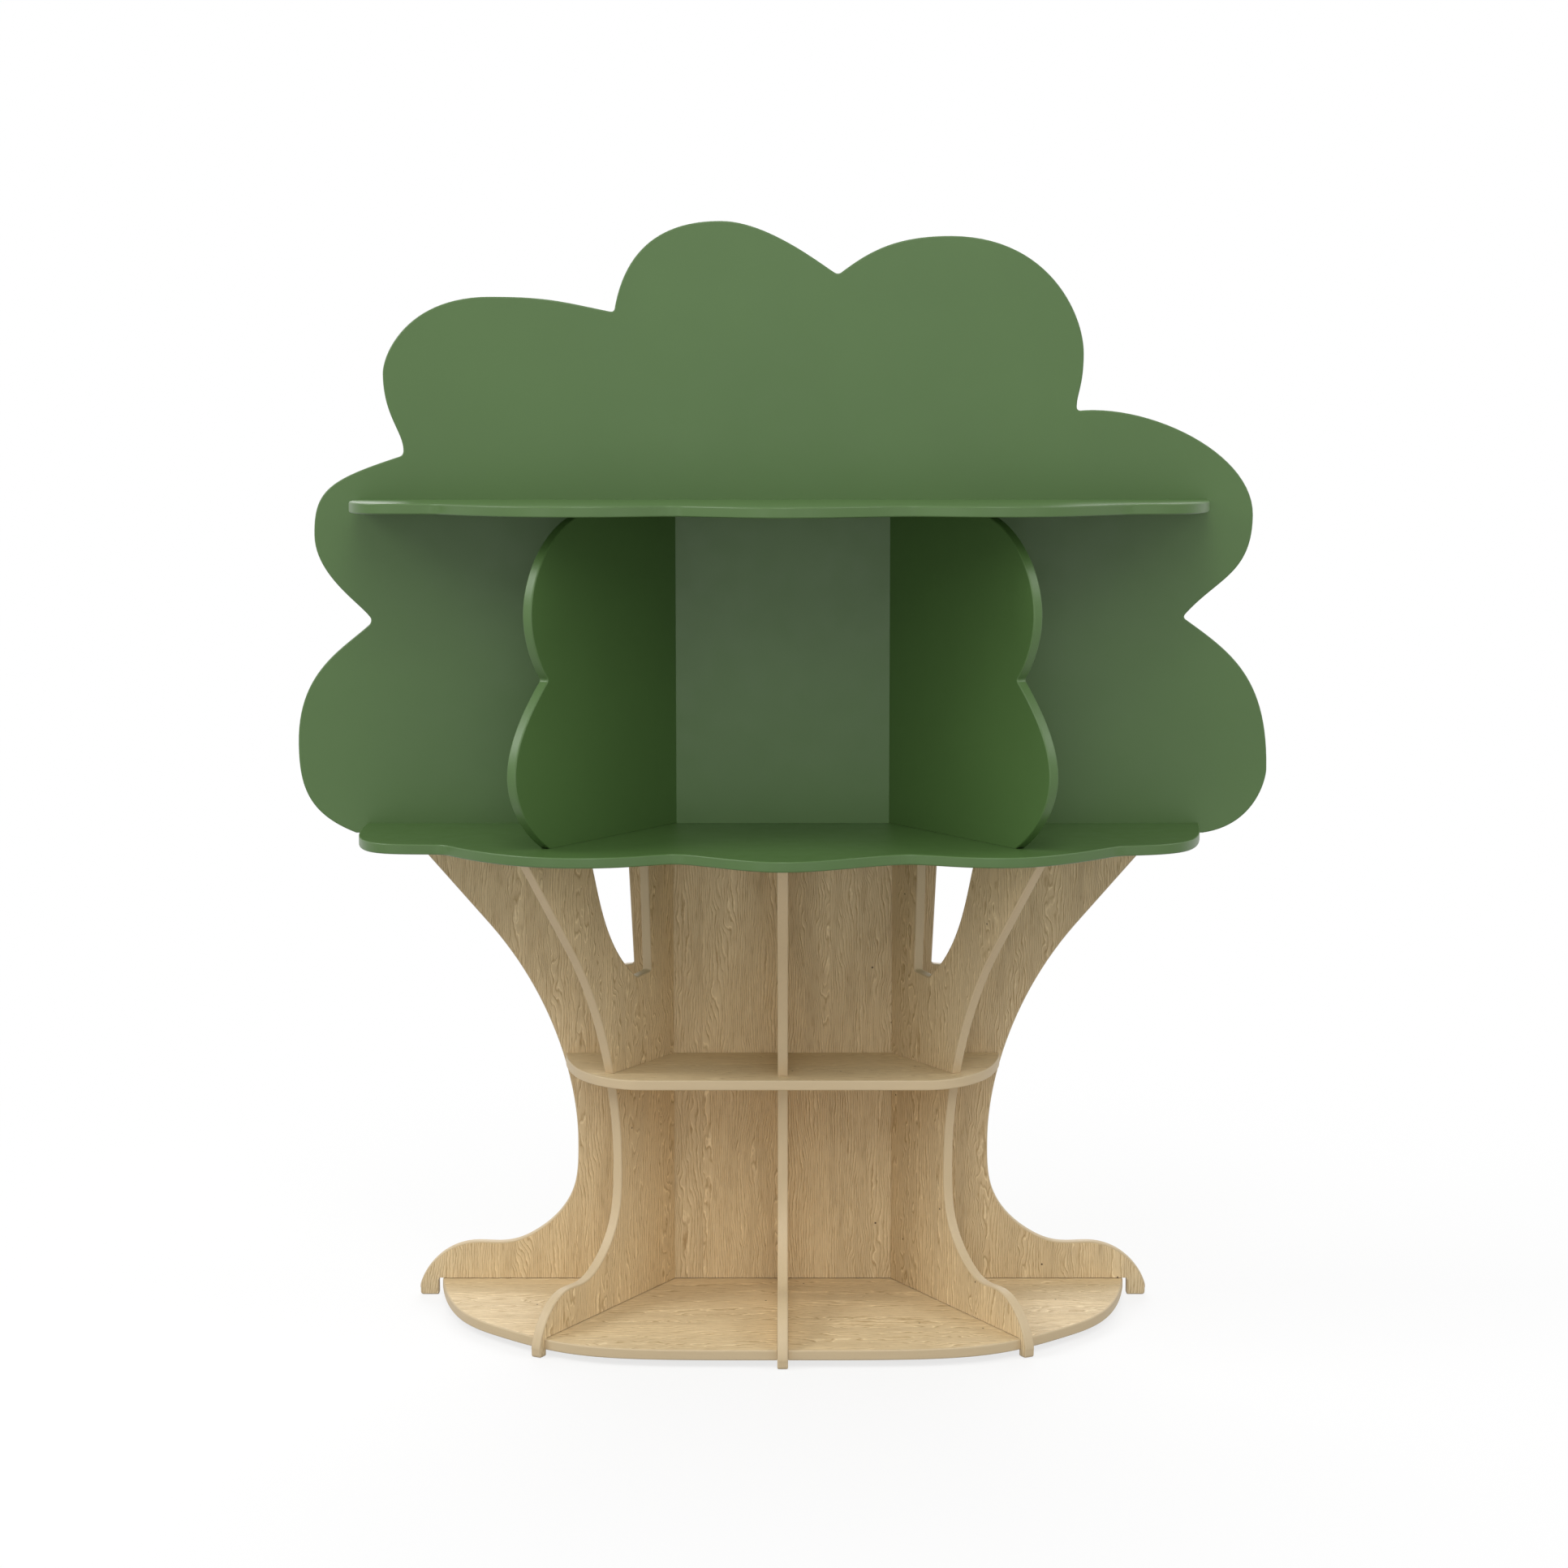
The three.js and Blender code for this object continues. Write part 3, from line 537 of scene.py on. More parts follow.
def trunk_side(sizes, waist, toe, hook_width):
    """One side of the trunk, from the heel round the toe, up the limb and down the slit."""
    seam = sizes.seam
    bottom = sizes.base_top - OVERRUN

    def foot(share):
        return Vector((waist + share[0] * (toe - waist), share[1] * seam, 0))

    mouth = waist - sizes.slit_setback

    def fork(share):
        return Vector((mouth + share[0] * sizes.slit_mouth, seam + (share[1] - 1) * sizes.slit_depth, 0))

    steps = sizes.curve_steps
    instep = (*INSTEP_HANDLES, (1, sizes.toe_straight / seam))
    limb_down = limb_curve(sizes, waist)
    foot_down = curve_nodes(FOOT_START, (*FOOT_CURVES, instep), foot, steps)
    outside = [*limb_down, *foot_down][::-1]
    tip = limb_down[0][0]
    lean = (sizes.limb_reach - tip.x) / (seam - tip.y)
    slit = curve_nodes(SLIT_START, SLIT_CURVES, fork, steps)
    slit[-1][1] = sizes.slit_corner
    heel = fork(SLIT_HEEL)
    hook = toe - hook_width
    return [
        corner(hook, bottom),
        corner(hook, 0, sizes.heel_corner),
        corner(toe, 0, sizes.toe_corner),
        *outside,
        corner(sizes.limb_reach + OVERRUN * lean, seam + OVERRUN),
        corner(mouth + sizes.slit_mouth, seam + OVERRUN),
        *slit,
        corner(heel.x, heel.y, sizes.slit_corner),
        corner(mouth, seam + OVERRUN),
    ]


# Finishes


def add_node(tree, kind, inputs=None, stops=None, **fields):
    """Adds a shader node with its fields, its inputs, as values or as links, and its ramp's stops."""
    node = tree.nodes.new(f"ShaderNode{kind}")
    for field, value in fields.items():
        setattr(node, field, value)
    for socket, value in (inputs or {}).items():
        if isinstance(value, bpy.types.NodeSocket):
            tree.links.new(value, node.inputs[socket])
        else:
            node.inputs[socket].default_value = value
    if stops:
        elements = node.color_ramp.elements
        while len(elements) < len(stops):
            elements.new(1)
        for element, (position, value) in zip(elements, stops):
            element.position = position
            element.color = value
    return node


def new_material(name):
    """A material, its empty node tree, and the object coordinates that its patterns read."""
    material = bpy.data.materials.new(name)
    material.use_nodes = True
    tree = material.node_tree
    tree.nodes.clear()
    return material, tree, add_node(tree, "TexCoord").outputs["Object"]


def shade(value):
    """A grey."""
    return (value, value, value, 1.0)


def scaled(value, factor):
    """A colour made lighter or darker."""
    return (*(channel * factor for channel in value[:3]), 1.0)


def per(width):
    """Texture scale for marks of a width in millimetres."""
    return 1 / (width * MM)


def finish_surface(tree, hue, sheen, relief, **gloss):
    """Ends a material: sheen is a pattern with its least and most roughness, relief a pattern with
    its strength and its height in millimetres."""
    pattern, least, most = sheen
    roughness = add_node(tree, "MapRange", {"Value": pattern, "To Min": least, "To Max": most})
    pattern, strength, height = relief
    bump = add_node(tree, "Bump", {"Height": pattern, "Strength": strength, "Distance": height * MM})
    inputs = {"Base Color": hue, "Roughness": roughness.outputs[0], "Normal": bump.outputs[0], **gloss}
    surface = add_node(tree, "BsdfPrincipled", inputs)
    add_node(tree, "OutputMaterial", {"Surface": surface.outputs[0]})


def leaf_lacquer(finishes):
    """Satin water based lacquer, rolled on primed fibreboard: even colour and a faint orange peel."""
    name = "leaf_lacquer"
    if name in bpy.data.materials:
        return bpy.data.materials[name]
    material, tree, place = new_material(name)
    clouds = add_node(tree, "TexNoise", {"Vector": place, "Scale": per(160), "Detail": 3})
    hue = add_node(
        tree, "Mix",
        {0: clouds.outputs["Fac"], 6: scaled(finishes.leaf, 0.93), 7: scaled(finishes.leaf, 1.07)},
        data_type="RGBA",
    )
    peel = add_node(tree, "TexNoise", {"Vector": place, "Scale": per(3.5), "Detail": 2})
    rolled = add_node(tree, "TexNoise", {"Vector": place, "Scale": per(30), "Detail": 2})
    height = add_node(tree, "Math", {0: rolled.outputs["Fac"], 1: peel.outputs["Fac"]}, operation="ADD")
    sheen = (rolled.outputs["Fac"], 0.36, 0.46)
    finish_surface(tree, hue.outputs[2], sheen, (height.outputs[0], 0.12, 0.3), IOR=1.48)
    return material


# Course of a ring line over its spacing, from 0 for the light wood to 1 for the dark: a dark line, with a
# painted highlight (the lightest stop) on the ridge beside it. And the tone that stays where a line runs out
OAK_LINE_AND_HIGHLIGHT = ((0.0, 0.92), (0.13, 0.52), (0.25, 0.0), (0.38, 0.42), (0.8, 0.48), (1.0, 0.92))
OAK_GROUND = 0.45
# Spacing of the ring lines, wider where the camera sees a board at a slant
RING_SPACING = 3.6
SLANT_SPACING = 6.4
SHEET_WIDTH = 190
# Pin knots: cell that may hold one, share of cells without one, radius of its dark core and of its rim
KNOT_CELL = 120
KNOT_RARITY = 0.6
KNOT_CORE = 0.96
KNOT_RIM = 1.8
KNOT_BROWN = "#4A3420"
# Clouds that shape the oak's figure: width in millimetres, length over width, and detail
OAK_CLOUDS = {
    "bend": (42, 4, 1.5),
    "eye": (20, 2.2, 1),
    "patch": (55, 7, 1),
    "ripple": (7, 3, 2),
    "break": (9, 4, 2),
    "pore": (1.6, 12, 2),
    "tone": (150, 5, 2),
}


def oak_veneer(name, finishes, turn, shift, spacing=RING_SPACING, depth=1):
    """Brushed oak veneer under matt lacquer: wavy ring lines with a fine relief and a painted highlight
    beside each, eyes and pin knots.
    """
    material, tree, place = new_material(name)
    turned = add_node(
        tree, "Mapping", {"Vector": place, "Rotation": turn.to_euler("XYZ"), "Location": shift},
    )
    axes = add_node(tree, "SeparateXYZ", {"Vector": turned.outputs[0]})
    across, along = axes.outputs[0], axes.outputs[2]
    # Sheets of veneer side by side, each from another place in the log
    sheet = add_node(tree, "Math", {0: across, 1: per(SHEET_WIDTH)}, operation="MULTIPLY")
    number = add_node(tree, "Math", {0: sheet.outputs[0]}, operation="FLOOR")
    jump = add_node(tree, "CombineXYZ", {1: number.outputs[0], 2: number.outputs[0]})
    moved = add_node(tree, "VectorMath", {0: turned.outputs[0], 1: jump.outputs[0]}, operation="ADD")
    clouds = {}
    for part, (width, stretch, detail) in OAK_CLOUDS.items():
        drawn = add_node(tree, "Mapping", {"Vector": moved.outputs[0], "Scale": (1, 1, 1 / stretch)})
        cloud = add_node(
            tree, "TexNoise", {"Vector": drawn.outputs[0], "Scale": per(width), "Detail": detail},
        )
        clouds[part] = cloud.outputs["Fac"]
    # Ring lines, bent by the figure and curled into eyes in patches, by amounts in line spacings
    lines = add_node(tree, "Math", {0: across, 1: per(spacing)}, operation="MULTIPLY")
    patch = add_node(
        tree, "MapRange", {"Value": clouds["patch"], "From Min": 0.45, "From Max": 0.6, "To Max": 5},
    )
    phase = lines.outputs[0]
    for part, amount in (("bend", 8), ("ripple", 1.1), ("eye", patch.outputs[0])):
        bent = add_node(tree, "Math", {0: clouds[part], 1: amount, 2: phase}, operation="MULTIPLY_ADD")
        phase = bent.outputs[0]
    turn_of_line = add_node(tree, "Math", {0: phase}, operation="FRACT")
    # The ramp paints a highlight on the ridge beside each dark ring line
    stops = [(position, shade(value)) for position, value in OAK_LINE_AND_HIGHLIGHT]
    line = add_node(tree, "ValToRGB", {"Fac": turn_of_line.outputs[0]}, stops)
    # The lines run out and start again every few centimetres
    strength = add_node(
        tree, "MapRange",
        {
            "Value": clouds["break"], "From Min": 0.36, "From Max": 0.62,
            "To Min": 0.5 * depth, "To Max": depth,
        },
    )
    faded = add_node(
        tree, "Mix", {0: strength.outputs[0], 2: OAK_GROUND, 3: line.outputs[0]}, data_type="FLOAT",
    )
    # Pores are short dashes, drawn 1.6 mm wide so that they show
    pore = add_node(
        tree, "MapRange", {"Value": clouds["pore"], "From Min": 0.52, "From Max": 0.75, "To Max": 0.3},
    )
    lined = add_node(
        tree, "Math", {0: faded.outputs[0], 1: pore.outputs[0]}, operation="ADD", use_clamp=True,
    )
    # Light oak where the ridge highlight is painted, dark oak in the ring lines
    grain = add_node(
        tree, "Mix",
        {0: lined.outputs[0], 6: tuple(finishes.oak_light_and_highlight), 7: tuple(finishes.oak_dark)},
        data_type="RGBA",
    )
    # Slow drift of tone along the sheet, narrower streaks, and another tone for each sheet
    own_tone = add_node(tree, "TexWhiteNoise", {"W": number.outputs[0]}, noise_dimensions="1D")
    tones = add_node(tree, "Math", {0: clouds["tone"], 1: own_tone.outputs[0]}, operation="ADD")
    streaked = add_node(
        tree, "Math", {0: clouds["patch"], 1: 2.2, 2: tones.outputs[0]}, operation="MULTIPLY_ADD",
    )
    bright = add_node(
        tree, "MapRange",
        {"Value": streaked.outputs[0], "From Min": 1.4, "From Max": 2.7, "To Min": 1.05, "To Max": 0.92},
    )
    toned = add_node(tree, "VectorMath", {0: grain.outputs[2], 3: bright.outputs[0]}, operation="SCALE")
    # Pin knots, in less than half of the cells
    flat = add_node(tree, "CombineXYZ", {0: across, 1: along})
    cells = add_node(
        tree, "TexVoronoi", {"Vector": flat.outputs[0], "Scale": per(KNOT_CELL)}, voronoi_dimensions="2D",
    )
    chosen = add_node(tree, "SeparateColor", {0: cells.outputs["Color"]})
    some = add_node(tree, "Math", {0: chosen.outputs[0], 1: KNOT_RARITY}, operation="GREATER_THAN")
    dot = add_node(
        tree, "MapRange",
        {
            "Value": cells.outputs["Distance"], "To Min": 1, "To Max": 0,
            "From Min": KNOT_CORE / KNOT_CELL, "From Max": KNOT_RIM / KNOT_CELL,
        },
    )
    knot = add_node(tree, "Math", {0: dot.outputs[0], 1: some.outputs[0]}, operation="MULTIPLY")
    knotted = add_node(
        tree, "Mix", {0: knot.outputs[0], 6: toned.outputs[0], 7: colour(KNOT_BROWN)}, data_type="RGBA",
    )
    relief = add_node(tree, "Math", {0: 1, 1: lined.outputs[0]}, operation="SUBTRACT")
    sheen = (lined.outputs[0], 0.5, 0.64)
    finish_surface(tree, knotted.outputs[2], sheen, (relief.outputs[0], 0.9, 0.8), IOR=1.45)
    return material


# Edge bands of upright and of level boards: how the streaks are drawn out in X, Y and Z
BANDINGS = {"oak_banding_upright": (1, 1, 0.08), "oak_banding_level": (0.08, 0.08, 1)}


def oak_banding(finishes, name):
    """Planed and rounded oak edge band: plain and pale beside the veneer, with faint streaks along it."""
    if name in bpy.data.materials:
        return bpy.data.materials[name]
    material, tree, place = new_material(name)
    drawn = add_node(tree, "Mapping", {"Vector": place, "Scale": BANDINGS[name]})
    streaks = add_node(
        tree, "TexNoise",
        {"Vector": drawn.outputs[0], "Scale": per(4.5), "Detail": 3, "Roughness": 0.55},
    )
    hue = add_node(
        tree, "Mix",
        {0: streaks.outputs["Fac"], 6: scaled(finishes.oak_edge, 1.04), 7: scaled(finishes.oak_edge, 0.95)},
        data_type="RGBA",
    )
    sheen = (streaks.outputs["Fac"], 0.45, 0.58)
    finish_surface(tree, hue.outputs[2], sheen, (streaks.outputs["Fac"], 0.2, 0.2), IOR=1.45)
    return material


def zinc_plate(finishes):
    """Bright zinc plated steel, as stamped and headed: faint drawing marks and cloudy plating."""
    material, tree, place = new_material("zinc_plate")
    drawn = add_node(tree, "Mapping", {"Vector": place, "Scale": (1, 1, 0.05)})
    marks = add_node(tree, "TexNoise", {"Vector": drawn.outputs[0], "Scale": per(0.8), "Detail": 2})
    clouds = add_node(tree, "TexNoise", {"Vector": place, "Scale": per(6), "Detail": 3})
    hue = add_node(
        tree, "Mix",
        {0: clouds.outputs["Fac"], 6: scaled(finishes.steel, 0.85), 7: scaled(finishes.steel, 1.1)},
        data_type="RGBA",
    )
    sheen = (clouds.outputs["Fac"], 0.28, 0.45)
    finish_surface(tree, hue.outputs[2], sheen, (marks.outputs["Fac"], 0.2, 0.1), Metallic=1)
    return material


def raw_beech(finishes):
    """Raw turned beech: short dark flecks along the dowel."""
    material, tree, place = new_material("raw_beech")
    drawn = add_node(tree, "Mapping", {"Vector": place, "Scale": (1, 1, 0.12)})
    flecks = add_node(tree, "TexNoise", {"Vector": drawn.outputs[0], "Scale": per(1.2), "Detail": 3})
    hue = add_node(
        tree, "Mix",
        {0: flecks.outputs["Fac"], 6: scaled(finishes.beech, 1.1), 7: scaled(finishes.beech, 0.75)},
        data_type="RGBA",
    )
    bump = add_node(tree, "Bump", {"Height": flecks.outputs["Fac"], "Strength": 0.3, "Distance": 0.1 * MM})
    surface = add_node(
        tree, "BsdfPrincipled",
        {"Base Color": hue.outputs[2], "Normal": bump.outputs[0], "Roughness": 0.7, "IOR": 1.45},
    )
    add_node(tree, "OutputMaterial", {"Surface": surface.outputs[0]})
    return material


# Operators


class TREE_OT_crown_back(bpy.types.Operator):
    """Cloud shaped back board of the crown"""

    bl_idname = "tree.crown_back"
    bl_label = "Crown Back"

    def execute(self, context):
        sizes = Measures(context.scene)

        def place(share):
            return Vector((share[0] * sizes.crown_width, sizes.seam + share[1] * sizes.crown_height, 0))

        nodes = curve_nodes(CROWN_START, CROWN_LOBES, place, sizes.curve_steps, sizes.lobe_notch)
        bm = board_mesh(eased_outline(nodes), sizes, across_place(sizes))
        finish_board(bm, "crown_back", [leaf_lacquer(context.scene.tree_finishes)], BACKWARD)
        return {"FINISHED"}


class TREE_OT_crown_shelves(bpy.types.Operator):
    """Two scalloped shelves of the crown"""

    bl_idname = "tree.crown_shelves"
    bl_label = "Crown Shelves"

    def execute(self, context):
        sizes = Measures(context.scene)
        shelves = {
            "crown_shelf": (sizes.crown_shelf_width, sizes.crown_floor),
            "upper_shelf": (sizes.upper_shelf_width, sizes.upper_top),
        }
        for node, (width, top) in shelves.items():
            def place(share):
                return Vector((share[0] * width, share[1] * sizes.shelf_depth, 0))

            front = curve_nodes(SHELF_START, SHELF_LOBES, place, sizes.curve_steps, sizes.shelf_notch)
            nodes = [corner(-width / 2, -OVERRUN), *front, corner(width / 2, -OVERRUN)]
            bm = board_mesh(eased_outline(nodes), sizes, flat_place(sizes, top))
            trim(bm, (0, sizes.back_front - GAP, 0), BACKWARD)
            finish_board(bm, node, [leaf_lacquer(context.scene.tree_finishes)], UPWARD)
        return {"FINISHED"}


class TREE_OT_crown_dividers(bpy.types.Operator):
    """Two splayed dividers between the crown shelves"""

    bl_idname = "tree.crown_dividers"
    bl_label = "Crown Dividers"

    def execute(self, context):
        sizes = Measures(context.scene)

        def place(share):
            height = sizes.crown_floor + share[1] * sizes.crown_bay
            return Vector((share[0] * sizes.divider_reach, height, 0))

        front = curve_nodes(DIVIDER_START, DIVIDER_CURVES, place, sizes.curve_steps, sizes.divider_notch)
        rear = -sizes.thickness - OVERRUN
        nodes = [
            corner(rear, sizes.upper_bottom + OVERRUN),
            corner(front[0][0].x, sizes.upper_bottom + OVERRUN),
            *front,
            corner(front[-1][0].x, sizes.crown_floor - OVERRUN),
            corner(rear, sizes.crown_floor - OVERRUN),
        ]
        for node, side in DIVIDERS.items():
            plane = plane_place(sizes, sizes.divider_root, side, sizes.divider_splay)
            centred = plane @ Matrix.Translation((0, 0, -sizes.thickness / 2))
            bm = board_mesh(eased_outline(nodes), sizes, centred)
            trim(bm, (0, sizes.back_front - GAP, 0), BACKWARD)
            trim(bm, (0, 0, sizes.upper_bottom - GAP), UPWARD)
            trim(bm, (0, 0, sizes.crown_floor + GAP), -UPWARD)
            across = plane.to_3x3() @ UPWARD
            finish_board(bm, node, [leaf_lacquer(context.scene.tree_finishes)], across)
        return {"FINISHED"}


class TREE_OT_trunk_back(bpy.types.Operator):
    """Back board of the trunk, with its two limbs, two slits and two feet"""

    bl_idname = "tree.trunk_back"
    bl_label = "Trunk Back"

    def execute(self, context):
        sizes = Measures(context.scene)
        finishes = context.scene.tree_finishes
        right = trunk_side(sizes, sizes.back_waist, sizes.back_toe, sizes.back_hook)
        for point, _ in right:
            point.x += sizes.trunk_root
        bm = board_mesh(eased_outline([*right, *mirrored(right)]), sizes, across_place(sizes))
        trim(bm, (0, 0, sizes.seam - GAP), UPWARD)
        foot = sizes.trunk_root + sizes.back_toe - sizes.back_hook
        seat = block_mesh((-foot, -FAR, -FAR), (foot, FAR, sizes.base_top + SEAT_GAP))
        face = oak_veneer("oak_veneer_back", finishes, Matrix.Identity(3), (0.31, 0.2, 0.4))
        band = oak_banding(finishes, "oak_banding_upright")
        finish_board(bm, "trunk_back", [face, band], BACKWARD, [seat])
        return {"FINISHED"}


class TREE_OT_trunk_fins(bpy.types.Operator):
    """Centre fin and two splayed fins of the trunk"""

    bl_idname = "tree.trunk_fins"
    bl_label = "Trunk Fins"

    def execute(self, context):
        sizes = Measures(context.scene)
        finishes = context.scene.tree_finishes
        lap = lap_reach(sizes)
        rear = -sizes.thickness - OVERRUN
        half = sizes.thickness / 2 + OVERRUN
        for node, side in FINS.items():
            toe = sizes.side_toe if side else sizes.centre_toe
            nodes = [
                *trunk_side(sizes, sizes.fin_waist, toe, sizes.fin_hook),
                corner(rear, sizes.seam + OVERRUN),
                corner(rear, sizes.base_top - OVERRUN),
            ]
            plane = plane_place(sizes, sizes.trunk_root, side, sizes.fin_splay)
            centred = plane @ Matrix.Translation((0, 0, -sizes.thickness / 2))
            bm = board_mesh(eased_outline(nodes), sizes, centred)
            trim(bm, (0, sizes.back_front - GAP, 0), BACKWARD)
            trim(bm, (0, 0, sizes.seam - GAP), UPWARD)
            seat = block_mesh(
                (rear - OVERRUN, -OVERRUN, -half),
                (toe - sizes.fin_hook, sizes.base_top + SEAT_GAP, half),
                plane,
            )
            notch = block_mesh(
                (lap, sizes.middle_bottom - GAP, -half), (FAR, sizes.middle_top + GAP, half), plane,
            )
            turn = Matrix.Rotation(-plane_turn(side, sizes.fin_splay), 3, "Z")
            # Each board is cut from another place in the log
            shift = (0.13 + 0.4 * side, 0.5 + 0.3 * side, 0.2 * side)
            face = oak_veneer(f"oak_veneer_{node}", finishes, turn, shift, SLANT_SPACING)
            band = oak_banding(finishes, "oak_banding_upright")
            across = plane.to_3x3() @ UPWARD
            finish_board(bm, node, [face, band], across, [seat, notch])
        return {"FINISHED"}


class TREE_OT_trunk_shelves(bpy.types.Operator):
    """Middle shelf and base shelf of the trunk"""

    bl_idname = "tree.trunk_shelves"
    bl_label = "Trunk Shelves"

    def execute(self, context):
        sizes = Measures(context.scene)
        finishes = context.scene.tree_finishes
        lap = lap_reach(sizes)
        half = sizes.thickness / 2 + GAP
        rear = -sizes.thickness - OVERRUN
        slots = []
        notches = []
        for side in FINS.values():
            plane = plane_place(sizes, sizes.trunk_root, side, sizes.fin_splay)
            toe = sizes.side_toe if side else sizes.centre_toe
            low = (rear, sizes.middle_bottom - OVERRUN, -half)
            slots.append(block_mesh(low, (lap + GAP, sizes.middle_top + OVERRUN, half), plane))
            low = (toe - sizes.fin_hook - GAP, 0, -half)
            notches.append(block_mesh(low, (FAR, sizes.base_top + OVERRUN, half), plane))
        # The grain runs from left to right
        turn = Matrix(((0, 1, 0), (0, 0, 1), (1, 0, 0)))
        band = oak_banding(finishes, "oak_banding_level")
        shelves = {
            "middle_shelf": {
                "outline": (MIDDLE_START, MIDDLE_CURVES),
                "size": (sizes.middle_width, sizes.middle_depth),
                "rear": -OVERRUN,
                "top": sizes.middle_top,
                "cutters": slots,
                "grain": 0.5,
            },
            "base_shelf": {
                "outline": (BASE_START, BASE_CURVES),
                "size": (sizes.base_width, sizes.base_depth),
                "rear": -sizes.thickness,
                "top": sizes.base_top,
                "cutters": notches,
                "grain": 1,
            },
        }
        for node, shelf in shelves.items():
            width, depth = shelf["size"]

            def place(share):
                return Vector((share[0] * width / 2, share[1] * depth, 0))

            right = curve_nodes(*shelf["outline"], place, sizes.curve_steps)
            right.append(corner(width / 2, shelf["rear"]))
            outline = eased_outline([*right, *mirrored(right)])
            bm = board_mesh(outline, sizes, flat_place(sizes, shelf["top"]))
            if node == "middle_shelf":
                trim(bm, (0, sizes.back_front - GAP, 0), BACKWARD)
            shift = (shelf["top"] * MM, 0.3, 0.1)
            face = oak_veneer(f"oak_veneer_{node}", finishes, turn, shift, SLANT_SPACING, shelf["grain"])
            finish_board(bm, node, [face, band], UPWARD, shelf["cutters"])
        return {"FINISHED"}


class TREE_OT_fastenings(bpy.types.Operator):
    """Finishes of the screws, joining plates and dowels"""

    bl_idname = "tree.fastenings"
    bl_label = "Fastenings"

    def execute(self, context):
        finishes = context.scene.tree_finishes
        steel = zinc_plate(finishes)
        beech = raw_beech(finishes)
        for node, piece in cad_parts.items():
            if "screw" in node or "plate" in node or "dowel" in node:
                piece.data.materials.clear()
                piece.data.materials.append(beech if "dowel" in node else steel)
        return {"FINISHED"}


class TREE_OT_stage(bpy.types.Operator):
    """Pale floor, soft studio light and the camera"""

    bl_idname = "tree.stage"
    bl_label = "Studio"

    def execute(self, context):
        add_floor()
        add_world(context.scene)
        for name, (place, size, power) in LAMPS.items():
            add_light(name, place, size, power)
        add_camera(context.scene)
        context.scene.view_settings.view_transform = "Standard"
        return {"FINISHED"}


# Round soft lamps, all turned to the middle of the piece: place, diameter and power
LAMPS = {
    "lamp_left": ((-3.6, -0.8, 3.4), 2, 75),
    "lamp_right": ((3.6, -0.8, 3.4), 2, 35),
    "lamp_front": ((0, -4.5, 4), 3, 63),
    "lamp_steep": ((0, -2.8, 4.6), 1.5, 28),
    "lamp_low": ((0, -5, 0.5), 2, 14),
    "lamp_low_left": ((-3, -4, 0.9), 2, 15),
    "lamp_low_right": ((3, -4, 0.9), 2, 13),
    "lamp_rear": ((0, 4.2, 3.4), 3, 90),
}
LAMP_TARGET = Vector((0, 0, 0.8))
# Camera at the photograph's viewing angle: place, downward tilt in radians, lens and sensor
CAMERA_PLACE = (0.001846, -4.40023, 1.322976)
CAMERA_TILT = 0.1177
CAMERA_LENS = 71.484
CAMERA_SENSOR = 36
FLOOR_HALF = 20
FLOOR_DROP = 0.0003


def add_floor():
    """Pale studio floor that fades to plain white away from the piece."""
    bm = bmesh.new()
    bmesh.ops.create_grid(bm, x_segments=1, y_segments=1, size=FLOOR_HALF)
    bmesh.ops.translate(bm, verts=bm.verts[:], vec=(0, 0, -FLOOR_DROP))
    floor = new_object("studio_floor", kept_mesh(bm, "studio_floor"))
    material, tree, place = new_material("studio_floor")
    grit = add_node(tree, "TexNoise", {"Vector": place, "Scale": per(20), "Detail": 3})
    sheen = add_node(tree, "MapRange", {"Value": grit.outputs["Fac"], "To Min": 0.7, "To Max": 0.8})
    # Pale to the camera, and a darker grey where it only throws light back at the piece
    seen = seen_directly(tree)
    tone = add_node(tree, "MapRange", {"Value": seen, "To Min": 0.38, "To Max": 0.88})
    paint = add_node(tree, "BsdfPrincipled", {"Base Color": tone.outputs[0], "Roughness": sheen.outputs[0]})
    radius = add_node(tree, "VectorMath", {0: place}, operation="LENGTH")
    far = add_node(
        tree, "MapRange",
        {"Value": radius.outputs["Value"], "From Min": 0.6, "From Max": 2.2, "To Min": 0.75, "To Max": 1},
        interpolation_type="SMOOTHSTEP",
    )
    white = add_node(tree, "Emission", {"Color": (1, 1, 1, 1), "Strength": 1})
    share = add_node(tree, "Math", {0: far.outputs[0], 1: seen}, operation="MULTIPLY")
    mixed = add_node(tree, "MixShader", {0: share.outputs[0], 1: paint.outputs[0], 2: white.outputs[0]})
    add_node(tree, "OutputMaterial", {"Surface": mixed.outputs[0]})
    floor.data.materials.append(material)


def seen_directly(tree):
    """1 for rays from the camera, from a mirror reflection or through glass."""
    path = add_node(tree, "LightPath").outputs
    seen = path["Is Camera Ray"]
    for ray in ("Is Glossy Ray", "Is Transmission Ray"):
        seen = add_node(tree, "Math", {0: seen, 1: path[ray]}, operation="MAXIMUM").outputs[0]
    return seen


def add_world(scene):
    """Even light from all around, and a white background where the camera looks past the piece."""
    world = bpy.data.worlds.new("studio")
    world.use_nodes = True
    tree = world.node_tree
    tree.nodes.clear()
    strength = add_node(tree, "MapRange", {"Value": seen_directly(tree), "To Min": 0.48, "To Max": 1})
    sky = add_node(tree, "Background", {"Color": (1, 1, 1, 1), "Strength": strength.outputs[0]})
    add_node(tree, "OutputWorld", {"Surface": sky.outputs[0]})
    scene.world = world


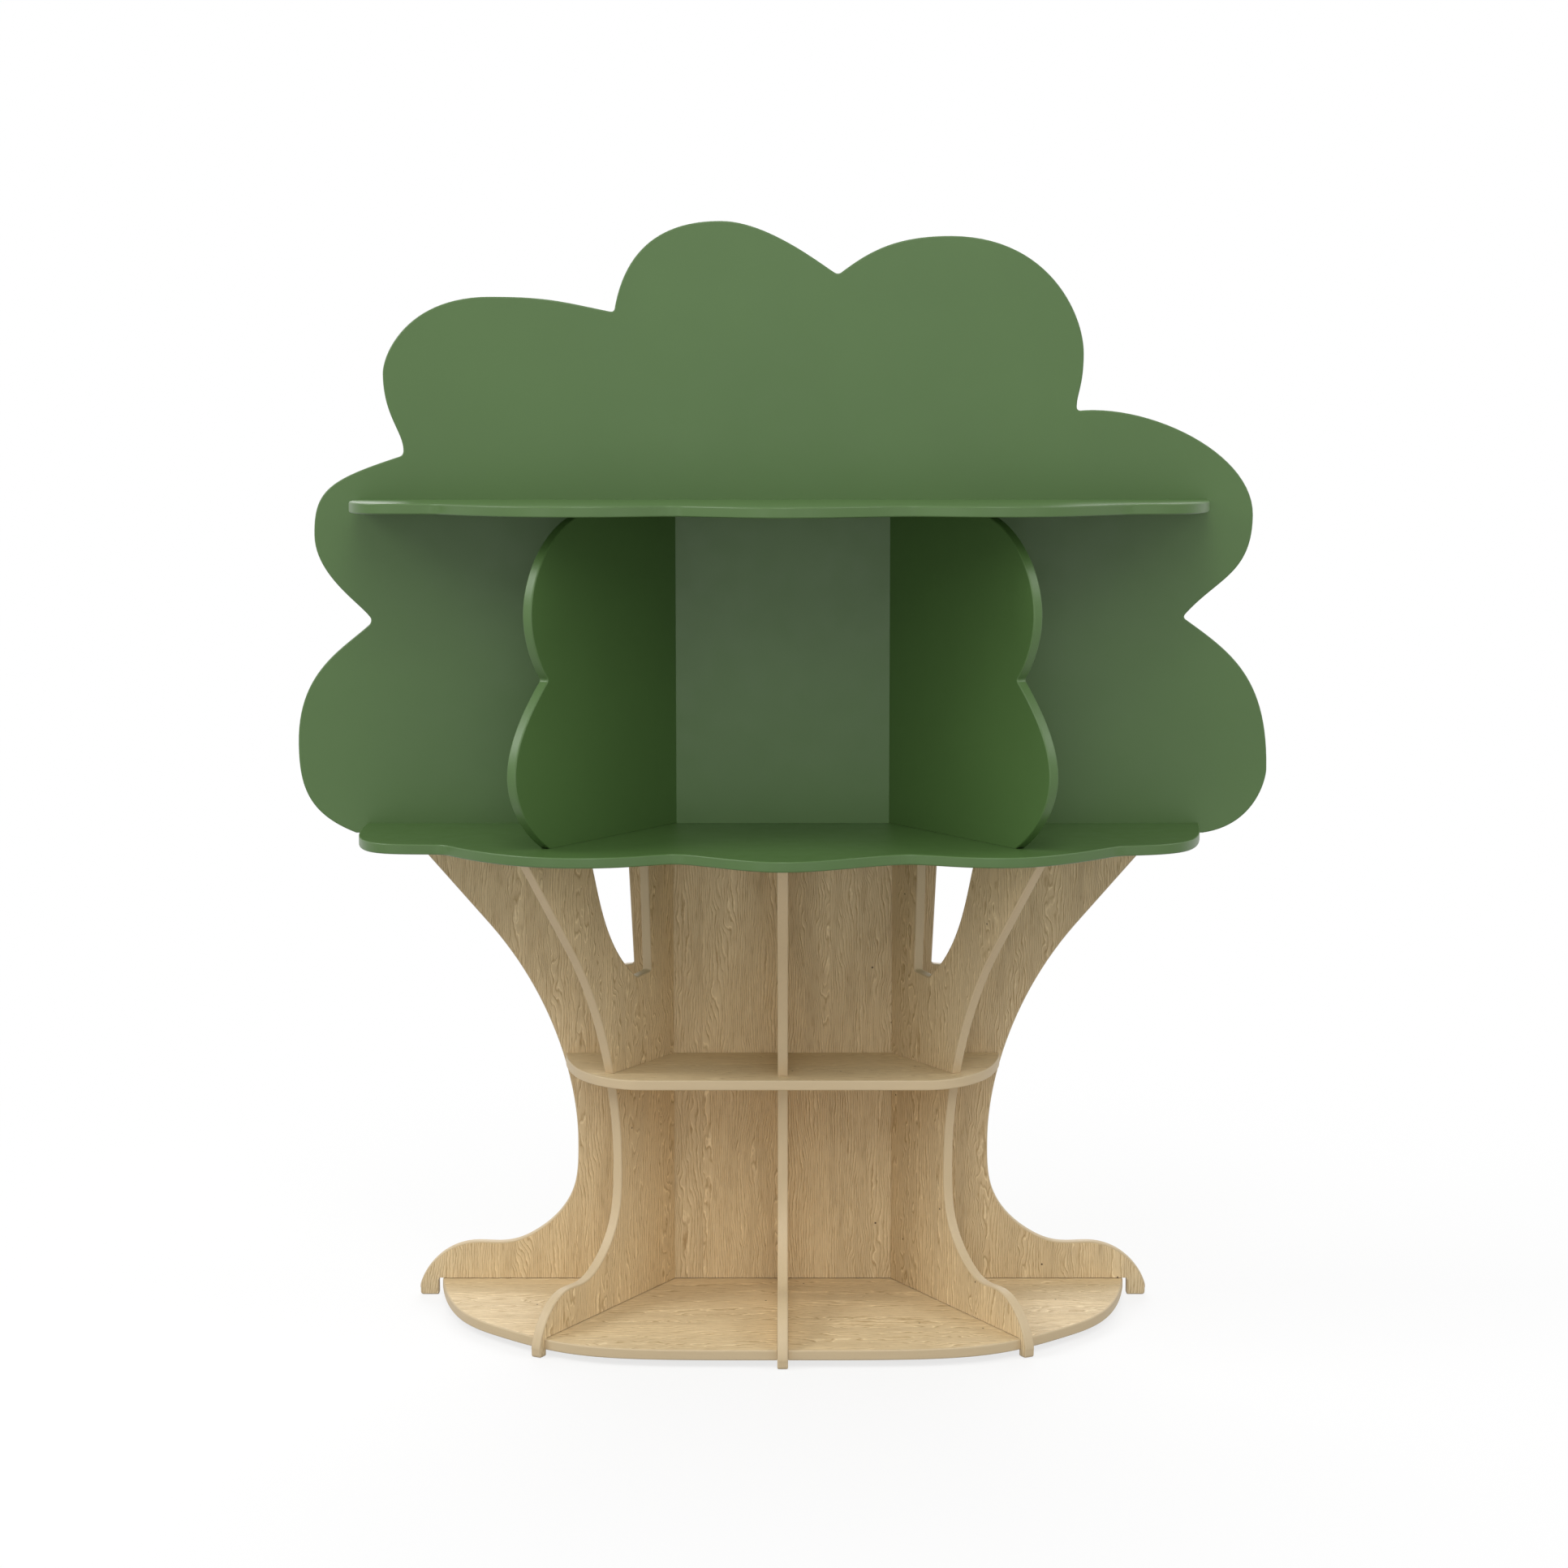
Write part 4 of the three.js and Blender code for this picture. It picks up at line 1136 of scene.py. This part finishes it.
def add_light(name, place, size, power):
    """A round soft lamp turned to the piece."""
    light = bpy.data.lights.new(name, "AREA")
    light.shape = "DISK"
    light.size = size
    light.energy = power
    lamp = new_object(name, light)
    lamp.location = place
    lamp.rotation_euler = (LAMP_TARGET - Vector(place)).to_track_quat("-Z", "Y").to_euler()


def add_camera(scene):
    """Camera 4.4 m in front of the piece, looking down a little."""
    camera = bpy.data.cameras.new("camera")
    camera.sensor_width = CAMERA_SENSOR
    camera.lens = CAMERA_LENS
    camera.clip_end = 100
    view = new_object("camera", camera)
    view.location = CAMERA_PLACE
    view.rotation_euler = (math.pi / 2 - CAMERA_TILT, 0, 0)
    scene.camera = view


class TREE_PT_bookshelf(bpy.types.Panel):
    """Lists the steps that build the bookshelf"""

    bl_idname = "TREE_PT_bookshelf"
    bl_label = "Tree Bookshelf"
    bl_space_type = "VIEW_3D"
    bl_region_type = "UI"
    bl_category = "Tree Bookshelf"

    def draw(self, context):
        for operator in OPERATORS:
            self.layout.operator(operator.bl_idname)
        for group in (context.scene.tree_sizes, context.scene.tree_finishes):
            box = self.layout.box()
            for name in group.bl_rna.properties.keys():
                if name not in ("rna_type", "name"):
                    box.prop(group, name)


OPERATORS = (
    TREE_OT_crown_back,
    TREE_OT_crown_shelves,
    TREE_OT_crown_dividers,
    TREE_OT_trunk_back,
    TREE_OT_trunk_fins,
    TREE_OT_trunk_shelves,
    TREE_OT_fastenings,
    TREE_OT_stage,
)
CLASSES = (TreeSizes, TreeFinishes, *OPERATORS, TREE_PT_bookshelf)


def register():
    for kind in CLASSES:
        bpy.utils.register_class(kind)
    bpy.types.Scene.tree_sizes = PointerProperty(type=TreeSizes)
    bpy.types.Scene.tree_finishes = PointerProperty(type=TreeFinishes)


def unregister():
    del bpy.types.Scene.tree_finishes
    del bpy.types.Scene.tree_sizes
    for kind in reversed(CLASSES):
        bpy.utils.unregister_class(kind)


def main():
    register()
    bpy.ops.tree.crown_back()
    bpy.ops.tree.crown_shelves()
    bpy.ops.tree.crown_dividers()
    bpy.ops.tree.trunk_back()
    bpy.ops.tree.trunk_fins()
    bpy.ops.tree.trunk_shelves()
    bpy.ops.tree.fastenings()
    bpy.ops.tree.stage()


if __name__ == "__main__":
    main()
